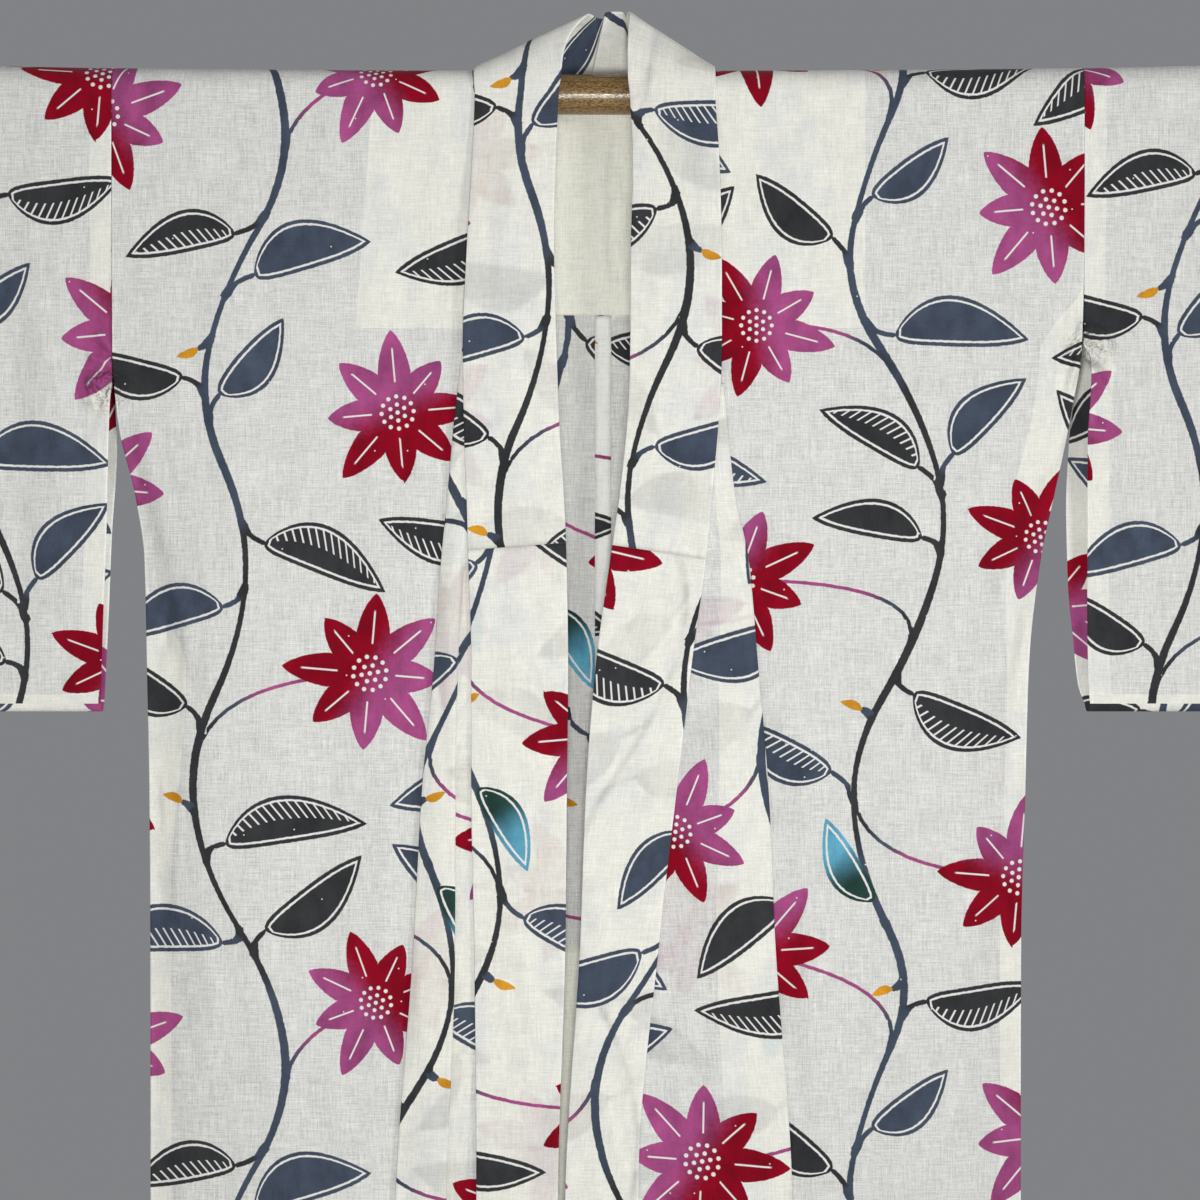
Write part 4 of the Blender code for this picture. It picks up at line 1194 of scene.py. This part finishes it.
class Value:
    """A number in a material, with the usual operators."""

    def __init__(self, finish, socket):
        self.finish, self.socket = finish, socket

    def of(self, operation, *others):
        """A Math node with this value first."""
        node = self.finish.add("ShaderNodeMath", {"operation": operation},
                               dict(enumerate((self, *others))))
        return Value(self.finish, node.outputs[0])

    def after(self, operation, first):
        """A Math node with this value second."""
        node = self.finish.add("ShaderNodeMath", {"operation": operation}, {0: first, 1: self})
        return Value(self.finish, node.outputs[0])

    def __add__(self, other):
        return self.of("ADD", other)

    def __sub__(self, other):
        return self.of("SUBTRACT", other)

    def __rsub__(self, other):
        return self.after("SUBTRACT", other)

    def __mul__(self, other):
        return self.of("MULTIPLY", other)

    def __truediv__(self, other):
        return self.of("DIVIDE", other)

    def __rtruediv__(self, other):
        return self.after("DIVIDE", other)

    def __pow__(self, other):
        return self.of("POWER", other)

    def __abs__(self):
        return self.of("ABSOLUTE")

    def __neg__(self):
        return self.of("MULTIPLY", -1.0)

    __radd__, __rmul__ = __add__, __mul__

    def at_least(self, other):
        """The larger of the two."""
        return self.of("MAXIMUM", other)

    def at_most(self, other):
        """The smaller of the two."""
        return self.of("MINIMUM", other)

    def within(self, low, high):
        """0 at low and below, 1 at high and above, a smooth step between."""
        node = self.finish.add("ShaderNodeMapRange", {"interpolation_type": "SMOOTHSTEP"},
                               {"Value": self, "From Min": low, "From Max": high})
        return Value(self.finish, node.outputs[0])


def inked(distance, soft):
    """1 inside a shape, 0 outside, from its signed distance."""
    return 1.0 - distance.within(-soft, soft)


def stroke(distance, half, soft):
    """1 on a line where the distance is nought."""
    return inked(abs(distance) - half, soft)


print("operators: + - * / ** abs, at_least, at_most, within")

# %% [markdown]
# ## Colours
# Colours are written in the usual 0 to 255 values and made linear for the shader. Single
# cloth lets some light through and looks greyer than cloth that lies double.

# %% Colours


def linear(red, green, blue):
    """Shader colour from the usual 0 to 255 values."""
    share = np.array([red, green, blue]) / 255.0
    value = np.where(share <= 0.04045, share / 12.92, ((share + 0.055) / 1.055) ** 2.4)
    return (*(float(v) for v in value), 1.0)


CRIMSON, MAGENTA = linear(140, 0, 29), linear(166, 77, 131)
CHARCOAL, SLATE = linear(53, 54, 56), linear(70, 79, 95)
TURQUOISE, PINE, OCHRE = linear(96, 166, 192), linear(38, 66, 60), linear(214, 150, 40)
SINGLE_CLOTH, PLAIN_CLOTH = linear(225, 224, 219), linear(250, 249, 235)
WARM_DOUBLE, COOL_DOUBLE = linear(242, 240, 229), linear(235, 235, 229)
# painted highlight: the near-white of the bright line along a folded edge
FOLD_HIGHLIGHT = linear(255, 255, 249)
WHITE_LINE = linear(236, 234, 230)
STAIN_DYE = linear(206, 176, 128)
WOOD_DARK, WOOD_LIGHT = linear(84, 59, 26), linear(160, 128, 76)
THIN_TINT = (0.975, 0.99, 1.0, 1.0)
print("crimson is", CRIMSON)

# %% [markdown]
# ## Drawing flowers, leaves and lines
# White resist lines part the dye, as in stencil dyeing. A flower has eight pointed petals
# with white ribs and rings of dots, and its dye runs from crimson to magenta. A leaf has
# an outline, a white line inside it, and a filled middle with some hatching on one half.

# %% Drawing the motifs
PETAL_TURN = math.pi / 4
PETAL_REACH, PETAL_SWING, PETAL_HALF = 49.0, 6.0, 25.0
RIB_HALF, LINE_HALF, TOOTH_HALF, LINE_SOFT = 0.55, 0.65, 0.6, 0.25
MIDDLE_DOT, RING_DOT, RINGS = 1.4, 1.35, ((5.2, 6), (10.4, 12))
LINE_INSIDE, TOOTH_GAP = 3.0, 5.2


def flower(paint, prefix, wobble, soft):
    """Cover, dye and white lines of a flower."""
    u, v, turn = paint.parts(prefix + "flower")
    radius = (u * u + v * v) ** 0.5
    angle = v.of("ARCTAN2", u)
    petal = (angle / PETAL_TURN).of("ROUND")
    folded = angle - petal * PETAL_TURN
    reach = PETAL_REACH + PETAL_SWING * (petal * 2.4 + turn).of("SINE")
    along = radius * folded.of("COSINE")
    across = abs(radius * folded.of("SINE"))
    share = along / reach
    half = PETAL_HALF * share.at_least(0.0) ** 0.5 * (1.0 - share).at_least(0.0) ** 0.75
    edge = (across - half).at_least(along - reach) + wobble
    cover = inked(edge, soft)
    rib = stroke(across, RIB_HALF, LINE_SOFT)
    rib = rib * share.within(0.36, 0.38) * (1.0 - share.within(0.76, 0.80))
    dots = inked(radius - MIDDLE_DOT, LINE_SOFT)
    for ring, count in RINGS:
        step = 2 * math.pi / count
        place = angle - (angle / step).of("ROUND") * step
        off = ((radius - ring) ** 2.0 + (radius * place) ** 2.0) ** 0.5
        dots = dots.at_least(inked(off - RING_DOT, LINE_SOFT))
    bloom = (u * 0.9 + v * 0.3 + wobble * 8.0).within(-9.0, 15.0)
    dye = paint.mix(bloom, CRIMSON, MAGENTA)
    return cover, dye, rib.at_least(dots)


def leaf(paint, prefix, wobble, soft):
    """Cover, dye and white lines of a leaf."""
    along, across, length = paint.parts(prefix + "leaf")
    widest, dye, hatched = paint.parts(prefix + "leaf_form")
    share = (along / length).at_least(0.0).at_most(1.0)
    half = widest * 2.7 * share ** 0.62 * (1.0 - share) ** 0.9
    edge = ((abs(across) - half) * 0.94).at_least(-along).at_least(along - length) + wobble
    cover = inked(edge, soft)
    line = stroke(edge + LINE_INSIDE, LINE_HALF, LINE_SOFT)
    tooth = ((along + across * 0.6) / TOOTH_GAP).of("FRACT") - 0.5
    teeth = inked(abs(tooth) * TOOTH_GAP - TOOTH_HALF, LINE_SOFT) * inked(edge + 3.2, 0.2)
    teeth = teeth * across.within(0.05, 0.4) * hatched
    white = line.at_least(teeth)
    cool = paint.mix(share.within(0.25, 0.7), PINE, TURQUOISE)
    colour = paint.mix(dye.within(0.4, 0.6), CHARCOAL, SLATE)
    colour = paint.mix(dye.within(1.4, 1.6), colour, cool)
    colour = paint.mix(dye.within(2.4, 2.6), colour, OCHRE)
    white = white * (1.0 - dye.within(2.4, 2.6))
    return cover, colour, white


def line_of(name):
    """How vines or stalks are drawn: one dye runs into the next along them."""
    def draw(paint, prefix, wobble, soft):
        across, half, dye = paint.parts(prefix + name)
        cover = inked(abs(across) - half + wobble, soft)
        colour = paint.mix(dye.within(0.2, 0.8), CHARCOAL, SLATE)
        return cover, paint.mix(dye.within(1.0, 1.7), colour, MAGENTA), 0.0
    return draw


DRAWN = (line_of("vine"), line_of("stalk"), leaf, flower)
print("drawn in this order: vines, stalks, leaves, flowers")

# %% [markdown]
# ## Weave and crumple
# Plain weave of slightly uneven yarns shows as fine noise stretched along and across the
# cloth. Where the cloth is thin, the dark behind shows through and cools it. Round each
# tack at the sleeves the cloth is crumpled finer than its mesh.

# %% Weave and crumple
TACKS = ((-0.316, -0.01, -0.192), (0.317, -0.01, -0.162))
CRUMPLE_HEIGHT, CRUMPLE_SIZE, CRUMPLE_REACH = 12.0, 0.17, (0.004, 0.021)
YARNS = ((1.15, 0.045), (2.1, 0.13), (3.4, 0.3))    # how fast they change across, along


def weave(paint, cloth):
    """Uneven threads along and across the cloth, single yarns, soft clouds where the cloth
    is thinner, and wide patches, each about nought, from places in millimetres."""
    long, short, yarns = (
        paint.noise(cloth, (across, along, 1.0), 1.0)
        + paint.noise(cloth, (along, across, 1.0), 1.0) - 1.0 for across, along in YARNS)
    cloud, patch = (paint.noise(cloth, (size, size * 0.6, 1.0)) - 0.5
                    for size in (0.09, 0.022))
    return long * 0.6 + short * 0.5, yarns, cloud, patch


def crumpled(paint, cloth, place):
    """Height in millimetres of the smallest puckers round each tack."""
    near = 0.0
    for tack in TACKS:
        near = 1.0 - paint.away(place, tack).within(*CRUMPLE_REACH) + near
    crumple = paint.noise(cloth, (CRUMPLE_SIZE, CRUMPLE_SIZE, 1.0))
    return crumple * near * CRUMPLE_HEIGHT


print(len(TACKS), "tacks")

# %% [markdown]
# ## Dyed cotton
# The cloth first gets its white: warmer and closer where it lies double, with a painted
# highlight along a fold and a ghost of the print behind it. The weave shades it, and the
# dyes go on top, with tiny white specks where the dye missed the yarn. One faint stain
# marks its age.

# %% Dyed cotton
COTTON_ROUGHNESS = 0.86
COTTON_SHEEN = {"Sheen Weight": 0.06, "Sheen Roughness": 0.5, "Specular IOR Level": 0.12}
WEAVE_CONTRAST, YARN_CONTRAST, CLOUD_CONTRAST = 0.72, 0.35, 0.16
OPEN_WEAVE = {"plain": 0.62, "single": 1.0, "double": 0.58}
SPECK_GAP, SPECK_RADIUS = 38.0, 0.45                # pinholes in the dye
STAIN, STAIN_REACH, STAIN_STRENGTH = (0.259, -0.0115, -0.44), (0.002, 0.011), 0.22
INK_SOFT, GHOST_SOFT = 0.28, 2.2


def cotton(name, base, printed=True, ghost=False):
    """A cotton finish. It is whiter and closer where more cloth lies behind it, and has a
    painted highlight along a folded edge."""
    paint = Finish(name, COTTON_ROUGHNESS, COTTON_SHEEN)
    uv = paint.add("ShaderNodeUVMap", {"uv_map": "cloth"})
    cloth = paint.stretched(uv.outputs[0], (1000.0, 1000.0, 0.0))
    place = paint.add("ShaderNodeTexCoord").outputs["Object"]
    slubs, yarns, cloud, patch = weave(paint, cloth)
    colour, open_weave = base, OPEN_WEAVE["plain"]
    if printed:
        inside, edge, _ = paint.parts("layers")
        double = inside.within(-0.4, 0.4)
        twofold = paint.mix((patch + cloud * 0.5).within(-0.22, 0.08), COOL_DOUBLE, WARM_DOUBLE)
        colour = paint.mix(double, base, twofold)
        # painted highlight: a bright stroke along each folded edge stands in for light catching
        # it
        colour = paint.mix(stroke(edge, 1.0, 0.5) * 0.9, colour, FOLD_HIGHLIGHT)
        closed = OPEN_WEAVE["single"] - OPEN_WEAVE["double"]
        open_weave = OPEN_WEAVE["single"] - double * closed
        wobble = (paint.noise(cloth, (0.35, 0.35, 1.0)) - 0.5) * 0.9
        if ghost:
            for draw in DRAWN:
                cover, dye, _ = draw(paint, "ghost_", wobble, GHOST_SOFT)
                cover = cover * ((cloud - patch).within(-0.2, 0.2) * 0.14 + 0.06)
                colour = paint.mix(cover, colour, dye)
    tone = slubs * WEAVE_CONTRAST + yarns * YARN_CONTRAST
    tone = tone * open_weave + cloud * CLOUD_CONTRAST
    thin = paint.tinted(colour, THIN_TINT)
    shade = paint.scaled(paint.mix(0.5 - tone * 3.0, colour, thin), tone + 1.0)
    if printed:
        specks = paint.add("ShaderNodeTexVoronoi", {"voronoi_dimensions": "2D"},
                           {"Vector": cloth, "Scale": 1 / SPECK_GAP}).outputs["Distance"]
        specks = inked(Value(paint, specks) * SPECK_GAP - SPECK_RADIUS, LINE_SOFT)
        for draw in DRAWN:
            cover, dye, white = draw(paint, "", wobble, INK_SOFT)
            dye = paint.scaled(dye, (slubs + yarns) * 0.35 + cloud * 0.9 + patch * 0.6 + 1.0)
            dye = paint.mix(specks.at_least(white), dye, WHITE_LINE)
            shade = paint.mix(cover, shade, dye)
        spot = 1.0 - paint.away(place, STAIN).within(*STAIN_REACH)
        spot = spot * (cloud * 1.6 + 0.6) * STAIN_STRENGTH
        shade = paint.mix(spot, shade, STAIN_DYE)
    paint.feed(paint.shader.inputs["Base Color"], shade)
    height = crumpled(paint, cloth, place) + slubs * 0.08 + yarns * 0.12
    return paint.bumped(1.0, MM, height)


PRINTED = cotton("dyed cotton", SINGLE_CLOTH)
FOLDED = cotton("dyed cotton, folded", SINGLE_CLOTH, ghost=True)
PLAIN = cotton("plain cotton", PLAIN_CLOTH, printed=False)
print(len(PRINTED.node_tree.nodes), "nodes in the dyed cotton")

# %% [markdown]
# ## Rod
# A turned hardwood rod under clear lacquer. The grain runs along it, so the noise is
# stretched along X, and the lacquer is a coat.

# %% Rod
ROD_RADIUS, ROD_LENGTH, ROD_EDGE, ROD_AROUND = 0.013, 1.4, 0.0025, 96


def lacquered_wood():
    """Grain and pores drawn out along X, under a coat that thins over the pores."""
    wood = Finish("lacquered wood", 0.45, {"Coat Roughness": 0.13})
    place = wood.add("ShaderNodeTexCoord").outputs["Object"]
    grain = wood.noise(place, (14.0, 420.0, 420.0), 4.0)
    pores = wood.noise(place, (560.0, 1500.0, 1500.0), 1.0)
    colour = wood.mix((grain * 0.25 + pores * 0.75).within(0.32, 0.66), WOOD_DARK, WOOD_LIGHT)
    wood.feed(wood.shader.inputs["Coat Weight"], pores.within(0.42, 0.62) * 0.6 + 0.1)
    wood.feed(wood.shader.inputs["Base Color"], colour)
    return wood.bumped(0.35, 0.3 * MM, pores + grain)


def rod():
    """A turned profile of half lengths and radii, rounded at both ends."""
    turn = np.linspace(0, math.pi / 2, 7)
    end_x = ROD_LENGTH / 2 - ROD_EDGE + ROD_EDGE * np.sin(turn)
    end_r = ROD_RADIUS - ROD_EDGE + ROD_EDGE * np.cos(turn)
    x = np.concatenate([-end_x[::-1], end_x])
    r = np.concatenate([end_r[::-1], end_r])
    around = np.linspace(0, 2 * math.pi, ROD_AROUND, endpoint=False)[None, :]
    ring = stacked(x[:, None], r[:, None] * np.cos(around), r[:, None] * np.sin(around))
    index = np.arange(len(x) * ROD_AROUND).reshape(-1, ROD_AROUND)
    after = np.roll(index, -1, axis=1)
    quads = np.stack([index[:-1], after[:-1], after[1:], index[1:]], 2).reshape(-1, 4)
    faces = quads.tolist() + [index[0, ::-1].tolist(), index[-1].tolist()]
    mesh = bpy.data.meshes.new("rod_turned")
    mesh.from_pydata(ring.reshape(-1, 3).tolist(), [], faces)
    mesh.shade_smooth()
    mesh.set_sharp_from_angle(angle=math.radians(50))
    piece = bpy.data.objects.new("rod_turned", mesh)
    bpy.context.scene.collection.objects.link(piece)
    mesh.materials.append(lacquered_wood())
    return piece


turned_rod = rod()
print(len(turned_rod.data.polygons), "faces in the rod")

# %% [markdown]
# ## Putting the robe together
# Each piece of cloth takes the place of its solid, and prints its faces and the area it
# was cut to before it was hung, no more than its width times its length in flat cloth.

# %% The robe
SIDES = {-1: "right", 1: "left"}


def flat_area(flat, faces_left_out=None):
    """Area of the flat places, in square metres."""
    a, b = flat[1:, 1:] - flat[:-1, :-1], flat[1:, :-1] - flat[:-1, 1:]
    quads = 0.5 * np.abs(a[..., 0] * b[..., 1] - a[..., 1] * b[..., 0])
    if faces_left_out is not None:
        quads = quads[~faces_left_out]
    return float(quads.sum()) * MM * MM


def hang(node, made, finish, rests_on, slot="printed_cotton", hole=None, **how):
    """Makes the cloth that stands for a solid, and says its cut size."""
    grid, flat, layers = made
    piece = cloth_piece(f"cloth_{node}", grid, flat, finish, layers, hole=hole, **how)
    size = (flat.reshape(-1, 2).max(0) - flat.reshape(-1, 2).min(0)) * MM
    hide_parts(node)
    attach(piece, "root")
    area = min(flat_area(flat, hole), float(size[0] * size[1]))
    print(f"{node}: {len(piece.data.polygons)} faces, {area:.3f} square metres")


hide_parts("rod")
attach(turned_rod, "root")

for side, name in SIDES.items():
    hang(f"body_{name}", body_panel(side), PRINTED, ["rod_turned"], shift=BODY_SHIFT[side])
    hang(f"okumi_{name}", okumi_panel(side), FOLDED, [f"cloth_body_{name}"],
         shift=OKUMI_SHIFT[side], ghost=OKUMI_GHOST[side])
    hang(f"collar_{name}", collar(side), FOLDED, [f"cloth_okumi_{name}"],
         shift=COLLAR_SHIFT[side], ghost=(side * 60.0, 40.0))
    hang(f"sleeve_{name}", sleeve(side), PRINTED, ["rod_turned"], loop=True,
         shift=SLEEVE_SHIFT[side])

hang("over_collar", over_collar(), FOLDED, ["rod_turned"], shift=OVER_COLLAR_SHIFT,
     ghost=OVER_COLLAR_GHOST)
grid, flat, hole = shoulder_lining()
hang("shoulder_lining", (grid, flat, None), PLAIN, ["rod_turned"], "plain_cotton", hole,
     printed=False)
allowance = flat_on_back(*ALLOWANCE_X, LINING_BACK_Z - 0.4, HEM_Z + 4.0, 1.35, 3.5)
hang("seam_allowance", (*allowance, (FAR, 0.0)), PRINTED, ["cloth_body_left"],
     shift=(312.0, 0.0))
seat = flat_on_back(-SEAT_HALF, SEAT_HALF, SEAT_TOP_Z, SEAT_TOP_Z - SEAT_LENGTH, 2.7, 8.0)
hang("seat_lining", (*seat, None), PLAIN, ["cloth_body_right", "cloth_body_left"],
     "plain_cotton", printed=False)

# %% [markdown]
# ## Light and floor
# A soft lamp close before the robe lights its middle most and reaches inside the neck. A
# larger one to the right and a fill at the left let the creases show, and a small bright
# one draws the gleam on the rod. The surround is a plain grey, so that the white cloth
# keeps its edge. The floor lies just below the hem.

# %% Light and floor


# name: place, aim, size, power
LAMPS = {"front": ((0.02, -1.25, -0.42), (0.0, 0, -0.42), 0.36, 6.9),
         "key": ((2.1, -1.9, 0.4), (0.1, 0, -0.45), 0.7, 20.0),
         "fill": ((-1.5, -2.1, -0.8), (-0.1, 0, -0.6), 1.4, 5.5),
         "gleam": ((-0.005, -1.35, -0.17), (0, 0, 0), 0.014, 1.3),
         "rear": ((0.6, 2.2, 0.8), (0, 0, -0.6), 1.6, 26.0)}
SURROUND, PALE = (0.22, 0.225, 0.235, 1.0), (0.62, 0.61, 0.59, 1.0)
FLOOR_SIZE, FLOOR_GAP = 8.0, 60.0


def soft_light(name, place, aim, size, power):
    """A round lamp that points at a place, and isn't seen itself."""
    data = bpy.data.lights.new(name, "AREA")
    data.shape = "DISK"
    data.size = size
    data.energy = power
    lamp = bpy.data.objects.new(name, data)
    bpy.context.scene.collection.objects.link(lamp)
    lamp.location = place
    lamp.rotation_euler = (Vector(aim) - Vector(place)).to_track_quat("-Z", "Y").to_euler()
    lamp.visible_camera = False


for name, settings in LAMPS.items():
    soft_light(name, *settings)
bpy.context.scene.view_settings.view_transform = "Standard"

world = bpy.data.worlds.new("surround")
world.use_nodes = True
backdrop = world.node_tree.nodes["Background"]
backdrop.inputs["Color"].default_value = SURROUND
backdrop.inputs["Strength"].default_value = 1.0
bpy.context.scene.world = world

bpy.ops.mesh.primitive_plane_add(size=FLOOR_SIZE, location=(0, 0, (HEM_Z - FLOOR_GAP) * MM))
floor = bpy.context.object
floor.name = "floor"
matt = Finish("pale floor", 0.8)
matt.shader.inputs["Base Color"].default_value = PALE
floor.data.materials.append(matt.material)
print(len(LAMPS), "lamps")
